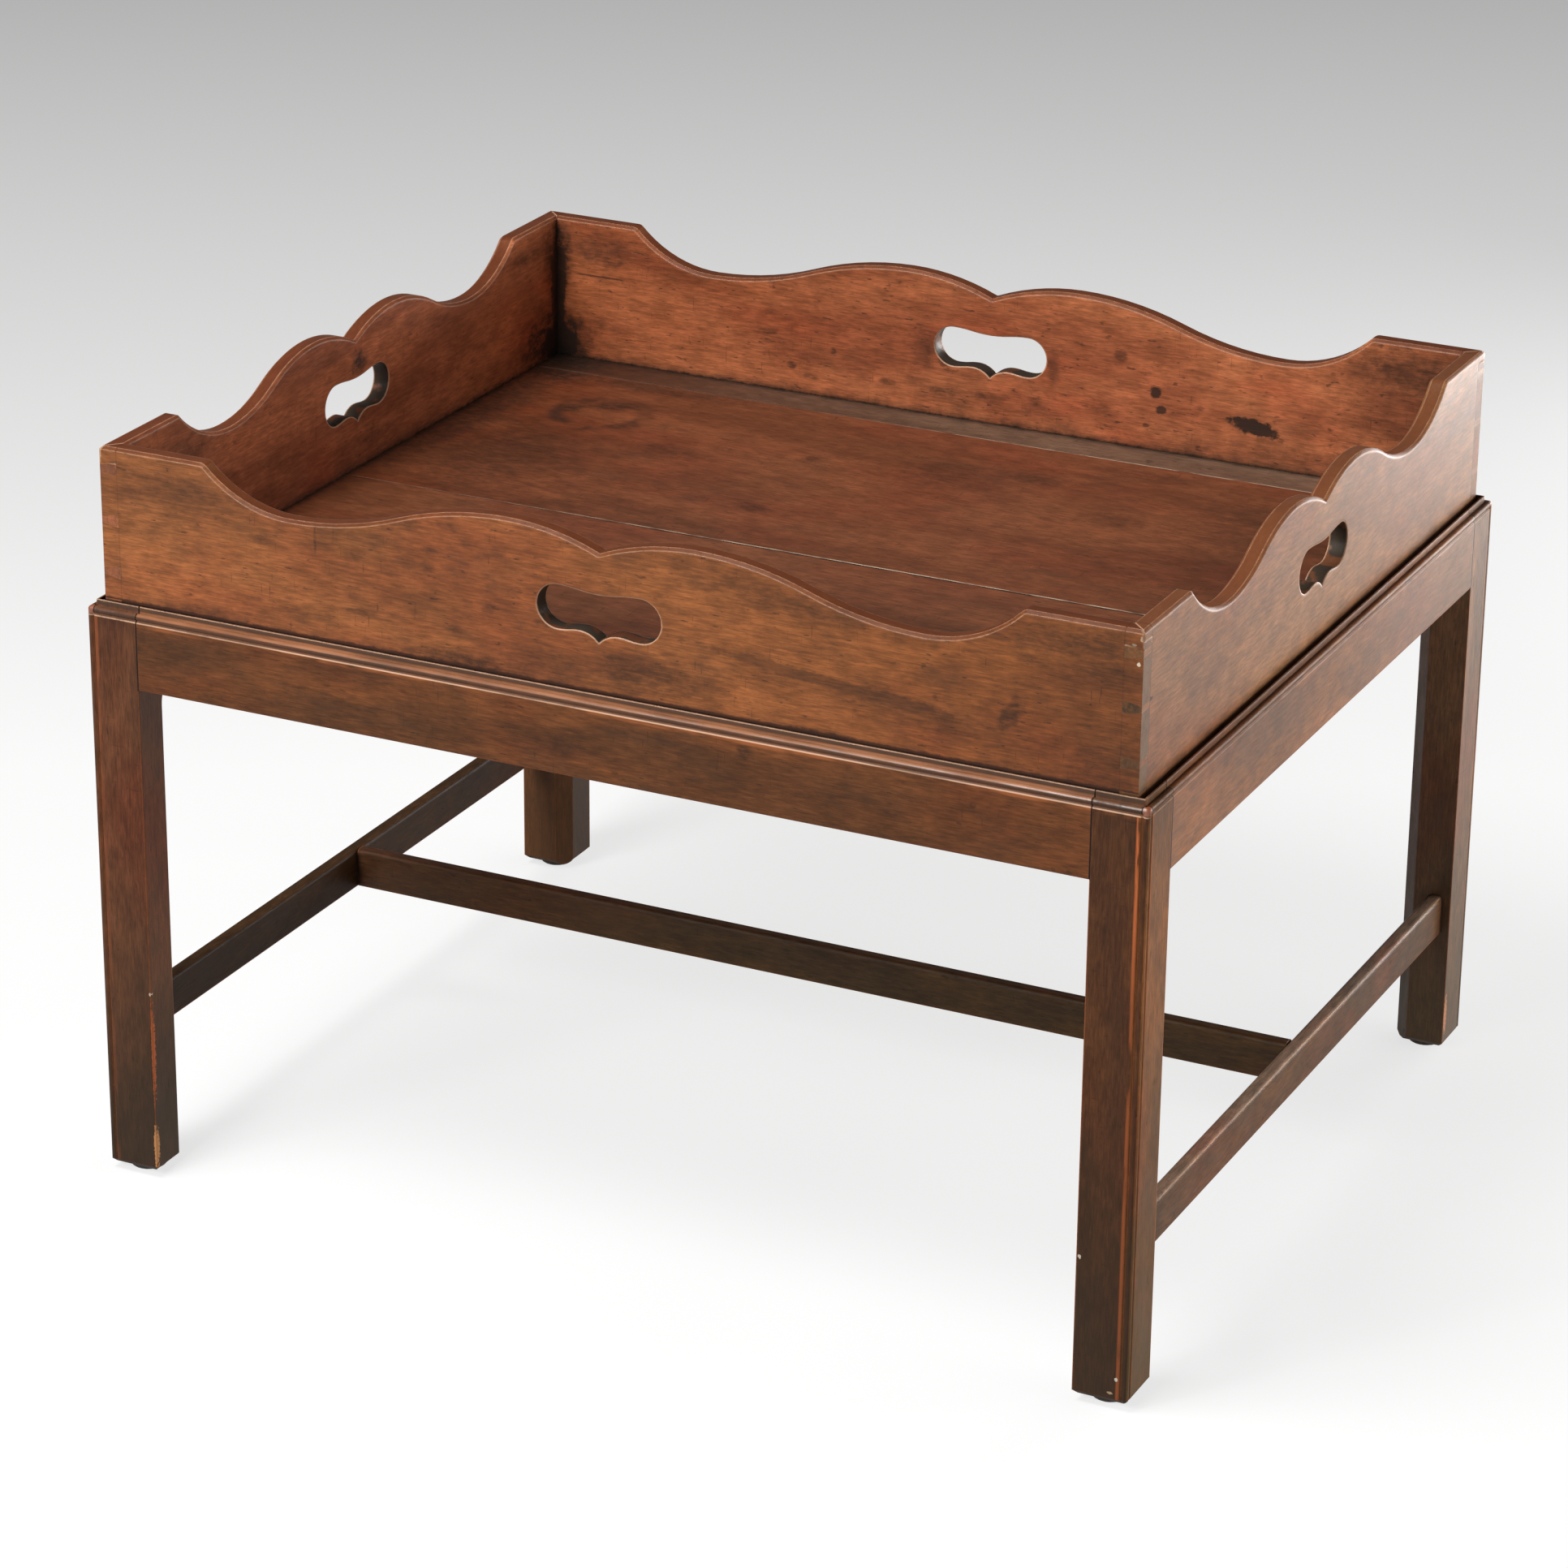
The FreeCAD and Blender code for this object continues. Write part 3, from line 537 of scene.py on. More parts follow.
    def polish(self, gloss, shine, haze):
        """Sheen that is duller on stains and on dirty, shaded corners, over grain that can be felt."""
        cloudy = self.noise(self.drawn(0.5), 70.0, 4.0, 0.6)
        rough = self.step(cloudy, 0.25, 0.75, gloss - 0.05, gloss + 0.06)
        rough = self.math("ADD", rough, self.times(self.most(self.dirt_and_shade, self.stained), 0.2))
        mirror = shine
        if haze:
            far_right = self.times(self.facing(X, 1), self.step(self.along(self.place, Y), -0.1, 0.28))
            mirror = self.step(far_right, 0.0, 1.0, shine, haze)
        for share in self.dulled:
            mirror = self.times(share, mirror)
        if self.crest is not None:
            rough = self.math("SUBTRACT", rough, self.times(self.crest, 0.12))
            mirror = self.most(mirror, self.times(self.crest, 0.95))
            mirror = self.times(self.step(self.sideways, 0.0, 1.0, 1.0, 0.3), mirror)
        relief = self.math("ADD", self.times(self.fibre, 0.4), self.times(self.line, 0.4))
        relief = self.math("SUBTRACT", relief, self.times(self.hollows, 1.4))
        inputs = {"Height": relief, "Normal": self.rounded, "Strength": 0.25, "Distance": 0.0004}
        bump = self.node("ShaderNodeBump", inputs).outputs[0]
        inputs = {"Base Color": self.colour, "Roughness": rough, "Normal": bump, "IOR": 1.5,
                  "Specular IOR Level": mirror}
        surface = self.node("ShaderNodeBsdfPrincipled", inputs)
        # The plain level stays for an export that can't follow the nodes
        surface.inputs["Specular IOR Level"].default_value = shine
        return self.finish(surface.outputs[0])


def make_wood(name, grain, colours, seed, fade=None, fade_side=None, veil=0.5, flecks=0.5, scratches=0.4,
              shades=(), stains=(), rings=(), chips=(), seams=(), face_light_and_shade=(), foot=None, top=None,
              gap_shade_top=None, end=None, corner_dirt_and_shade=1.0, wear=0.6, wear_and_highlight_tone=STAND_WEAR_TONE, round_over=0.0018,
              joints=(), corners=None, handhold=None, moulding=False, gloss=0.40, shine=0.28, haze=None):
    """Wood of one piece; colours are the light, dark and red tones of its figure."""
    wood = Wood(name, grain, seed, wear_and_highlight_tone)
    wood.add_figure(*colours)
    if fade:
        wood.add_fade(*fade, fade_side)
    wood.add_shades(shades)
    wood.add_age(veil, flecks, scratches)
    wood.add_stains(stains, rings)
    if foot:
        wood.add_foot(*foot)
    wood.add_face_light_and_shade(face_light_and_shade)
    if top:
        wood.add_top(top)
    if gap_shade_top:
        wood.add_gap_shade(gap_shade_top)
    if end:
        wood.add_sawn_ends(*end)
    wood.find_edges(wear, round_over)
    wood.add_joints(joints)
    if corners:
        wood.keep_corners(*corners)
    if handhold:
        wood.add_handhold(*handhold)
    if moulding:
        wood.add_moulding()
    # Worn arrises: wear, the pale ones partly painted highlight
    wood.blend(wood.worn, wood.wear_and_highlight_tone)
    wood.add_open_seams(seams)
    wood.add_chips(chips)
    wood.add_corner_dirt_and_shade(corner_dirt_and_shade, moulding)
    return wood.polish(gloss, shine, haze)


def make_felt():
    """Pressed brown felt with loose fibres and a dusty rim."""
    s = Shader("felt")
    place = s.node("ShaderNodeTexCoord").outputs["Object"]
    fuzz = s.noise(place, 2600.0, 4.0, 0.7, 0.6)
    blotch = s.noise(place, 320.0, 3.0, 0.6)
    colour = s.mix(s.step(fuzz, 0.35, 0.7), tone(34, 25, 20), tone(86, 64, 50))
    colour = s.mix(s.step(blotch, 0.5, 0.75, 0.0, 0.5), colour, tone(104, 88, 76))
    bump = s.node("ShaderNodeBump", {"Height": fuzz, "Strength": 0.8, "Distance": 0.0004}).outputs[0]
    inputs = {"Base Color": colour, "Roughness": 0.95, "Normal": bump, "Sheen Weight": 0.4,
              "Sheen Roughness": 0.5}
    return s.finish(s.node("ShaderNodeBsdfPrincipled", inputs).outputs[0])


def make_iron():
    """Hand-cut iron: dark scale with brown rust."""
    s = Shader("iron")
    place = s.node("ShaderNodeTexCoord").outputs["Object"]
    scale = s.noise(place, 900.0, 5.0, 0.65)
    rust = s.noise(place, 420.0, 4.0, 0.6)
    colour = s.mix(s.step(scale, 0.35, 0.65), tone(48, 44, 42), tone(84, 78, 74))
    colour = s.mix(s.step(rust, 0.46, 0.62, 0.0, 0.85), colour, tone(92, 54, 34))
    metal = s.step(rust, 0.46, 0.62, 0.85, 0.1)
    rough = s.step(scale, 0.3, 0.7, 0.45, 0.75)
    bump = s.node("ShaderNodeBump", {"Height": scale, "Strength": 0.5, "Distance": 0.0002}).outputs[0]
    inputs = {"Base Color": colour, "Metallic": metal, "Roughness": rough, "Normal": bump}
    return s.finish(s.node("ShaderNodeBsdfPrincipled", inputs).outputs[0])


def make_floor_material():
    """White paper that turns grey far from the object and keeps its shadow."""
    s = Shader("studio_floor")
    place = s.node("ShaderNodeTexCoord").outputs["Object"]
    away = s.vector("DOT_PRODUCT", place, FLOOR_AWAY)
    inputs = {"Value": away, "From Min": FLOOR_FADE_START, "From Max": FLOOR_FADE_END}
    fade = s.node("ShaderNodeMapRange", inputs).outputs["Result"]
    colour = s.mix(fade, FLOOR_NEAR_COLOUR, FLOOR_FAR_COLOUR)
    path = s.node("ShaderNodeLightPath")
    mirrored = s.most(path.outputs["Is Glossy Ray"], path.outputs["Is Transmission Ray"])
    seen = s.most(path.outputs["Is Camera Ray"], s.times(mirrored, FLOOR_MIRRORED_SHARE))
    bounce = s.mix(seen, FLOOR_BOUNCE_COLOUR, colour)
    paper = s.node("ShaderNodeBsdfDiffuse", {"Color": bounce}).outputs[0]
    lit = s.node("ShaderNodeEmission", {"Color": colour, "Strength": 1.0}).outputs[0]
    share = s.times(seen, FLOOR_OWN_LIGHT)
    return s.finish(s.node("ShaderNodeMixShader", {0: share, 1: paper, 2: lit}).outputs[0])


def dress(node, material):
    """Give a solid's object its material."""
    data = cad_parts[node].data
    data.materials.clear()
    data.materials.append(material)


def across_x(x, y, z, half_y, half_z):
    """Middle and radii of a spot on a face across X."""
    return (x, y, z), (SPOT_DEPTH, half_y, half_z)


def across_y(y, x, z, half_x, half_z):
    """Middle and radii of a spot on a face across Y."""
    return (x, y, z), (half_x, SPOT_DEPTH, half_z)


def on_front(x, z, half_x, half_z, tilt, strength, soft=1.0):
    return *across_y(FRONT_Y, x, z, half_x, half_z), tilt, strength, soft


def on_back(x, z, half_x, half_z, tilt, strength, soft=1.0):
    return *across_y(BACK_Y, x, z, half_x, half_z), tilt, strength, soft


def on_left(y, z, half_y, half_z, strength, soft=1.0):
    return *across_x(LEFT_X, y, z, half_y, half_z), 0.0, strength, soft


def on_floor(x, y, half_x, half_y, tilt, strength, soft=1.0):
    return (x, y, FLOOR_Z), (half_x, half_y, SPOT_DEPTH), tilt, strength, soft


def on_rail(x, z, half_x, half_z, strength, soft=1.0):
    return *across_y(-HALF_Y, x, z, half_x, half_z), 0.0, strength, soft


# What the four boards of the gallery share
GALLERY = {"wear": 0.95, "wear_and_highlight_tone": TRAY_WEAR_AND_HIGHLIGHT_TONE, "round_over": 0.0024, "gloss": 0.36,
           "corners": (INNER_X, INNER_Y, GALLERY_TOP_Z - CORNER_DROP)}


def dress_tray_front():
    """Front board, with the long dark streak, blotches and bruises that the photograph shows."""
    stains = (
        on_front(0.168, 0.4565, 0.100, 0.0041, 5.9, 0.45, 0.3),
        on_front(0.212, 0.4525, 0.042, 0.0048, 5.9, 0.50, 0.3),
        on_front(0.228, 0.447, 0.045, 0.0080, 5.0, 0.40),
        on_front(0.1529, 0.4222, 0.030, 0.0022, 0.0, 0.75, 0.5),
        on_front(0.0117, 0.4462, 0.0085, 0.0024, 0.0, 0.55, 0.6),
        on_front(0.140, 0.5045, 0.045, 0.006, 9.0, 0.50),
        on_front(0.2845, 0.4582, 0.0060, 0.0135, 32.0, 0.75, 0.6),
        on_front(0.115, 0.506, 0.045, 0.009, 12.0, 0.45),
        on_front(0.034, 0.437, 0.046, 0.012, 0.0, 0.58),
        on_front(-0.030, 0.436, 0.050, 0.010, 0.0, 0.35),
        on_front(-0.100, 0.424, 0.045, 0.008, 0.0, 0.75),
        on_front(-0.310, 0.421, 0.045, 0.008, 0.0, 0.60),
        on_front(-0.310, 0.506, 0.050, 0.011, 0.0, 0.40),
        on_front(0.330, 0.512, 0.050, 0.013, -4.0, 0.60),
        on_front(0.350, 0.498, 0.026, 0.010, 0.0, 0.50),
        on_front(0.2985, 0.4964, 0.012, 0.004, 6.0, 0.40, 0.7),
        on_front(0.350, 0.440, 0.030, 0.022, 0.0, 0.45),
        on_front(0.3560, 0.4985, 0.0050, 0.0022, 0.0, 0.60, 0.6),
        on_front(-0.3618, 0.5143, 0.0032, 0.0020, 0.0, 0.75, 0.4),
        on_front(-0.3616, 0.4764, 0.0036, 0.0022, 0.0, 0.75, 0.4),
        on_front(-0.3621, 0.4399, 0.0034, 0.0020, 0.0, 0.75, 0.4),
        on_front(-0.1363, 0.5115, 0.0070, 0.0040, 0.0, 0.50),
        on_front(-0.1083, 0.5151, 0.0120, 0.0035, 0.0, 0.55),
        on_front(-0.1223, 0.4962, 0.0060, 0.0035, 0.0, 0.60),
        on_front(-0.1386, 0.4863, 0.0065, 0.0035, 0.0, 0.50),
        on_front(-0.1237, 0.4855, 0.0050, 0.0045, 0.0, 0.55),
        on_front(-0.1809, 0.4825, 0.0080, 0.0040, 0.0, 0.45),
        on_front(-0.0943, 0.5059, 0.0070, 0.0030, 0.0, 0.45),
        on_front(-0.1937, 0.5015, 0.0012, 0.0120, 6.0, 0.50, 0.5),
        on_front(-0.2074, 0.4903, 0.0012, 0.0110, 0.0, 0.55, 0.5),
        on_front(-0.2000, 0.4950, 0.0100, 0.0100, 0.0, 0.35),
        on_front(-0.2504, 0.4831, 0.0120, 0.0030, 0.0, 0.50),
        on_front(-0.0795, 0.4649, 0.0045, 0.0045, 0.0, 0.55),
        on_front(-0.1764, 0.4453, 0.0150, 0.0022, -12.0, 0.60, 0.6),
        on_front(-0.1042, 0.4450, 0.0070, 0.0050, 0.0, 0.50),
        on_front(-0.0395, 0.4614, 0.0080, 0.0025, 0.0, 0.55),
        on_front(-0.2555, 0.4411, 0.0080, 0.0020, 0.0, 0.50),
        on_front(-0.2200, 0.4350, 0.0350, 0.0060, 0.0, 0.35),
    )
    shades = (
        on_front(0.106, 0.432, 0.022, 0.010, 0.0, 0.24, 0.5),
        on_front(0.140, 0.440, 0.045, 0.010, 4.0, 0.12),
    )
    chips = (
        (*across_y(FRONT_Y, 0.3674, 0.5060, 0.0014, 0.0014), CHIP_TONE),
        (*across_y(FRONT_Y, 0.3690, 0.5225, 0.0010, 0.0022), tone(196, 160, 130)),
        (*across_y(FRONT_Y, 0.3640, 0.5180, 0.0020, 0.0008), tone(150, 130, 112)),
    )
    dress("tray_front", make_wood(
        "tray_front_wood", X, (tone(164, 100, 57), tone(130, 77, 43), tone(142, 76, 43)), 1.0,
        fade=(X, -0.34, 0.37, (1.07, 1.09, 1.08), (0.75, 0.70, 0.62)), flecks=0.6, scratches=0.5,
        shades=shades, stains=stains, chips=chips, gap_shade_top=FRONT_GAP_SHADE_Z, end=(TAIL_TONE, 0.6),
        joints=(TAIL_JOINT,), handhold=(X, Y), top=GALLERY_TOP_TONE, **GALLERY))


def dress_tray_back():
    """Back board, with a black mark near its right end and a dark left corner."""
    stains = (
        on_back(0.2067, 0.4490, 0.0210, 0.0058, 6.0, 0.94, 0.1),
        on_back(0.1304, 0.4641, 0.0042, 0.0048, 0.0, 0.90, 0.3),
        on_back(0.1347, 0.4513, 0.0040, 0.0032, 25.0, 0.85, 0.3),
        on_back(0.1024, 0.4862, 0.0050, 0.0045, 0.0, 0.60, 0.5),
        on_back(0.0874, 0.4464, 0.0100, 0.0055, 0.0, 0.45),
        on_back(0.1238, 0.4379, 0.0035, 0.0018, 0.0, 0.70, 0.3),
        on_back(-0.0514, 0.4711, 0.0090, 0.0160, 0.0, 0.60),
        on_back(0.0500, 0.4700, 0.0050, 0.0160, 0.0, 0.50),
        on_back(-0.0369, 0.4390, 0.0120, 0.0035, 0.0, 0.60, 0.7),
        on_back(-0.0011, 0.4402, 0.0120, 0.0030, 0.0, 0.55, 0.7),
        on_back(0.0369, 0.4429, 0.0060, 0.0035, 0.0, 0.50, 0.7),
        on_back(-0.3480, 0.4330, 0.0230, 0.0230, 0.0, 0.95),
        on_back(-0.3540, 0.4290, 0.0170, 0.0190, 0.0, 0.97, 0.3),
        on_back(-0.3540, 0.5000, 0.0090, 0.0280, 0.0, 0.95),
        on_back(-0.3560, 0.4750, 0.0070, 0.0450, 0.0, 0.92, 0.3),
        on_back(-0.3193, 0.5070, 0.0260, 0.0140, 0.0, 0.55),
        on_back(-0.3300, 0.5000, 0.0060, 0.0040, 0.0, 0.60, 0.6),
        on_back(-0.3080, 0.4980, 0.0080, 0.0030, 0.0, 0.60, 0.6),
        on_back(-0.3200, 0.4856, 0.0220, 0.0008, 0.0, 0.70, 0.3),
        on_back(-0.3150, 0.4480, 0.0200, 0.0080, 0.0, 0.40),
        on_back(-0.1805, 0.4639, 0.0080, 0.0022, 0.0, 0.55, 0.6),
        on_back(-0.2563, 0.4399, 0.0070, 0.0020, 0.0, 0.60, 0.5),
        on_back(-0.1608, 0.4409, 0.0040, 0.0028, 0.0, 0.70, 0.4),
        on_back(-0.1262, 0.4568, 0.0030, 0.0028, 0.0, 0.60, 0.5),
        on_back(-0.1439, 0.4340, 0.0080, 0.0022, 0.0, 0.55, 0.5),
        on_back(-0.0816, 0.4397, 0.0080, 0.0030, 0.0, 0.55, 0.5),
        on_back(0.3200, 0.5060, 0.0400, 0.0140, 0.0, 0.60),
    )
    shades = (
        on_back(0.330, 0.470, 0.060, 0.070, 0.0, -0.42),
        on_back(0.250, 0.423, 0.120, 0.016, 0.0, -0.38),
        on_back(0.000, 0.432, 0.070, 0.014, 0.0, -0.24),
        on_back(0.130, 0.468, 0.035, 0.016, 0.0, 0.20),
    )
    dress("tray_back", make_wood(
        "tray_back_wood", X, (tone(168, 98, 61), tone(136, 73, 45), tone(150, 72, 44)), 2.0,
        fade=(X, -0.3, 0.3, (0.96, 0.93, 0.93), (1.42, 1.54, 1.6)), fade_side=(Y, -1), veil=0.35,
        flecks=0.6, shades=shades, stains=stains, gap_shade_top=INNER_GAP_SHADE_Z, end=(TAIL_TONE, 0.6),
        joints=(TAIL_JOINT,), handhold=(X, Y), top=GALLERY_TOP_TONE, **GALLERY))


def dress_tray_ends():
    """Left end, dark in its back corner, and right end, smoother and greyer."""
    left_stains = (
        on_left(0.004, 0.4975, 0.011, 0.009, 0.92, 0.8),
        on_left(0.020, 0.438, 0.020, 0.007, 0.55),
        on_left(0.280, 0.436, 0.042, 0.028, 0.95),
        on_left(0.293, 0.430, 0.022, 0.018, 0.97, 0.3),
        on_left(0.293, 0.500, 0.018, 0.032, 0.85),
        on_left(0.296, 0.475, 0.009, 0.045, 0.90, 0.3),
        on_left(0.255, 0.508, 0.030, 0.006, 0.60),
        on_left(-0.230, 0.500, 0.040, 0.010, 0.50),
    )
    right_stains = (
        on_front(0.3635, 0.4775, 0.0075, 0.0045, 0.0, 0.85, 0.4),
        on_front(0.3620, 0.4990, 0.0060, 0.0024, 0.0, 0.70, 0.6),
        on_front(0.3620, 0.4402, 0.0080, 0.0060, 0.0, 0.60),
    )
    right_chips = (
        (*across_x(RIGHT_X, -0.3080, 0.5180, 0.0016, 0.0030), tone(200, 186, 164)),
        (*across_x(RIGHT_X, -0.2964, 0.4796, 0.0040, 0.0014), tone(84, 40, 30)),
    )
    dress("tray_left_end", make_wood(
        "tray_left_wood", Y, (tone(182, 107, 70), tone(140, 79, 52), tone(156, 75, 47)), 3.0, veil=0.3,
        fade=(Y, 0.10, 0.24, (1.04, 1.04, 1.05), (1.24, 1.26, 1.16)), stains=left_stains,
        gap_shade_top=INNER_GAP_SHADE_Z, end=(PIN_TONE, 0.45), handhold=(Y, X), top=GALLERY_TOP_TONE,
        **GALLERY))
    dress("tray_right_end", make_wood(
        "tray_right_wood", Y, (tone(156, 104, 61), tone(136, 87, 50), tone(144, 84, 46)), 4.0, veil=0.10,
        flecks=0.2, scratches=0.1, stains=right_stains, chips=right_chips, end=(PIN_TONE, 0.55),
        joints=(PIN_JOINT,), corner_dirt_and_shade=0.5, handhold=(Y, X), top=RIGHT_TOP_TONE, haze=0.45, **GALLERY))


def dress_tray_floor():
    """Three floor boards, dark towards the back left corner, with the mark of a wet vessel."""
    stains = (
        on_floor(-0.345, 0.150, 0.026, 0.140, 0.0, 0.75),
        on_floor(-0.340, 0.265, 0.038, 0.032, 0.0, 0.95),
        on_floor(-0.250, 0.256, 0.080, 0.012, 0.0, 0.60),
        on_floor(-0.290, 0.060, 0.060, 0.080, 0.0, 0.50),
        on_floor(-0.2880, 0.1880, 0.0130, 0.0100, 26.0, 0.85, 0.9),
        on_floor(-0.2604, 0.2062, 0.0220, 0.0090, 26.0, 0.75, 0.9),
        on_floor(-0.2375, 0.1656, 0.0120, 0.0055, 36.0, 0.78, 0.7),
        on_floor(-0.181, 0.134, 0.030, 0.014, 0.0, 0.45),
        on_floor(-0.0726, 0.0527, 0.0180, 0.0090, -20.0, 0.55, 0.8),
        on_floor(-0.0803, 0.1665, 0.0050, 0.0050, 0.0, 0.50, 0.5),
        on_floor(0.0216, 0.1798, 0.0380, 0.0300, 0.0, 0.40),
        on_floor(0.0800, 0.2005, 0.0300, 0.0130, 0.0, 0.50),
        on_floor(0.1536, 0.2410, 0.0300, 0.0130, 0.0, 0.40),
        on_floor(0.1620, 0.1450, 0.0260, 0.0160, 0.0, 0.45),
        on_floor(0.2600, 0.1800, 0.0500, 0.0400, 0.0, 0.30),
    )
    shades = (
        on_floor(0.305, 0.080, 0.085, 0.160, 0.0, -0.34),
        on_floor(-0.182, 0.101, 0.034, 0.014, 10.0, 0.22),
        on_floor(0.110, 0.005, 0.110, 0.035, 0.0, 0.22),
        on_floor(0.100, 0.250, 0.120, 0.030, 0.0, 0.25),
    )
    strip_stains = (
        on_floor(-0.342, 0.285, 0.036, 0.024, 0.0, 0.95),
    )
    dress("tray_floor_front", make_wood(
        "tray_floor_front_wood", X, (tone(128, 75, 47), tone(100, 57, 35), tone(116, 59, 37)), 5.0,
        veil=0.35, wear=0.3, seams=((FRONT_SEAM_Y - 0.0010, 0.0010, 0.9, -0.28, SEAM_AND_SHADE_TONE),)))
    dress("tray_floor_middle", make_wood(
        "tray_floor_middle_wood", X, (tone(132, 76, 47), tone(102, 57, 34), tone(120, 61, 37)), 6.0,
        fade=(X, -0.32, -0.06, (0.93, 0.85, 0.81), (1.03, 1.02, 1.0)), veil=0.4, shades=shades,
        stains=stains, rings=(((-0.2609, 0.1854, FLOOR_Z), 0.033, 0.72),), wear=0.3,
        seams=((BACK_SEAM_Y - 0.0006, 0.0008, 0.75, -0.16, CHIP_TONE),
               (FRONT_SEAM_Y + 0.0006, 0.0007, 0.65, -0.28, CHIP_TONE))))
    dress("tray_floor_strip", make_wood(
        "tray_floor_strip_wood", X, (tone(130, 100, 79), tone(104, 79, 61), tone(112, 82, 63)), 7.0,
        fade=(X, -0.32, 0.05, (0.34, 0.22, 0.18), (0.96, 0.98, 1.0)), veil=0.3, stains=strip_stains,
        wear=0.3))


def dress_legs():
    """Dark legs, darker at the feet, each with painted light and shade on its sides."""
    # Painted shade on the inward faces; each leg's face colours are painted light and shade
    darker = (0.8, 0.8, 0.8)
    legs = {
        "front_left": {
            "colours": (tone(106, 66, 44), tone(78, 50, 35), tone(98, 50, 32)),
            "face_light_and_shade": ((X, 1, (1.05, 0.9, 0.58)), (Y, 1, darker)), "shine": 0.16},
        "front_right": {
            "colours": (tone(92, 56, 34), tone(66, 42, 27), tone(84, 42, 25)),
            "face_light_and_shade": ((X, 1, (2.5, 2.4, 1.4)), (X, -1, darker), (Y, 1, darker)), "shine": 0.16},
        "back_left": {
            "colours": (tone(110, 68, 44), tone(82, 52, 34), tone(102, 52, 31)),
            "face_light_and_shade": ((Y, -1, (1.95, 1.6, 1.25)), (X, 1, (0.9, 0.85, 0.8))), "shine": 0.16},
        "back_right": {
            "colours": (tone(110, 70, 46), tone(82, 54, 36), tone(102, 54, 33)),
            "face_light_and_shade": ((X, 1, (1.75, 1.95, 1.7)), (Y, -1, (1.6, 1.9, 1.9)), (X, -1, darker)),
            "shine": 0.26, "haze": 0.5},
    }
    chips = (
        (*across_y(-HALF_Y, -0.3435, 0.0240, 0.0016, 0.0180), tone(196, 138, 88)),
        (*across_y(-HALF_Y, -0.3436, 0.1400, 0.0008, 0.0014), tone(214, 190, 170)),
        (*across_y(-HALF_Y, -0.3433, 0.0960, 0.0007, 0.0400), tone(176, 92, 50)),
        (*across_y(-HALF_Y, 0.3452, 0.1040, 0.0012, 0.0016), tone(210, 196, 178)),
        (*across_y(-HALF_Y, 0.3731, 0.0226, 0.0013, 0.0013), tone(214, 204, 190)),
        (*across_y(-HALF_Y, 0.3690, 0.0120, 0.0022, 0.0010), tone(176, 150, 120)),
        (*across_x(HALF_X, 0.2830, 0.0300, 0.0030, 0.0160), tone(186, 120, 76)),
    )
    for index, (name, traits) in enumerate(legs.items()):
        dress(f"leg_{name}", make_wood(
            f"leg_{name}_wood", Z, seed=11.0 + index, foot=(0.02, 0.30, 0.7), wear=0.85,
            joints=(X_JOINT, Y_JOINT), moulding=True, chips=chips, corner_dirt_and_shade=0.6, gloss=0.44, **traits))


def dress_rails():
    """Rails with the moulding, the side rails with painted light on their faces; the right one is smooth
    and hazy, with a painted reflection growing towards the back.
    """
    tones = (tone(122, 72, 39), tone(92, 55, 30), tone(106, 55, 29))
    stains = (
        on_rail(0.1068, 0.4022, 0.0065, 0.0055, 0.65, 0.7),
        on_rail(-0.0300, 0.3830, 0.0300, 0.0080, 0.45),
        on_rail(-0.3250, 0.4000, 0.0300, 0.0090, 0.45),
        on_rail(0.2640, 0.3970, 0.0030, 0.0022, 0.55, 0.5),
    )
    long_rail = {"grain": X, "joints": (X_JOINT,), "shine": 0.22}
    # Side rails: faces across X painted lighter, as painted light
    side_rail = {"grain": Y, "joints": (Y_JOINT,), "shine": 0.28,
                 "face_light_and_shade": ((X, 1, (1.5, 1.5, 1.3)), (X, -1, (1.2, 1.2, 1.1)))}
    # Greyer towards the back: painted reflection
    right_painted_haze = (Y, -0.05, 0.25, (1.0, 1.05, 1.0), (1.0, 1.15, 1.1))
    rails = {
        "front": {**long_rail, "stains": stains},
        "back": long_rail,
        "left": side_rail,
        "right": {**side_rail, "fade": right_painted_haze, "veil": 0.25, "flecks": 0.25, "haze": 0.6},
    }
    for index, (name, traits) in enumerate(rails.items()):
        dress(f"rail_{name}", make_wood(
            f"rail_{name}_wood", colours=tones, seed=21.0 + index, wear=0.9, moulding=True, corner_dirt_and_shade=0.6,
            **traits))


def dress_stretchers():
    """Dark stretchers with painted light on their tops and outer faces, most on the right, and painted
    shade on the left one's inner face.
    """
    tones = (tone(78, 54, 34), tone(58, 41, 28), tone(74, 42, 27))
    # Face colours below: painted light and shade
    stretchers = {
        "left": {"grain": Y, "shine": 0.10,
                 "face_light_and_shade": ((X, 1, (0.58, 0.48, 0.34)), (Z, 1, (1.3, 1.2, 1.0)))},
        "right": {"grain": Y, "shine": 0.18, "haze": 0.3,
                  "face_light_and_shade": ((X, 1, (2.1, 1.85, 1.3)), (Z, 1, (5.6, 7.0, 9.5)))},
        "centre": {"grain": X, "shine": 0.18,
                   "face_light_and_shade": ((Y, -1, (1.3, 1.35, 1.15)), (Z, 1, (1.3, 1.2, 1.1)))},
    }
    for index, (name, traits) in enumerate(stretchers.items()):
        dress(f"stretcher_{name}", make_wood(
            f"stretcher_{name}_wood", colours=tones, seed=31.0 + index, wear=0.9, gloss=0.46, **traits))


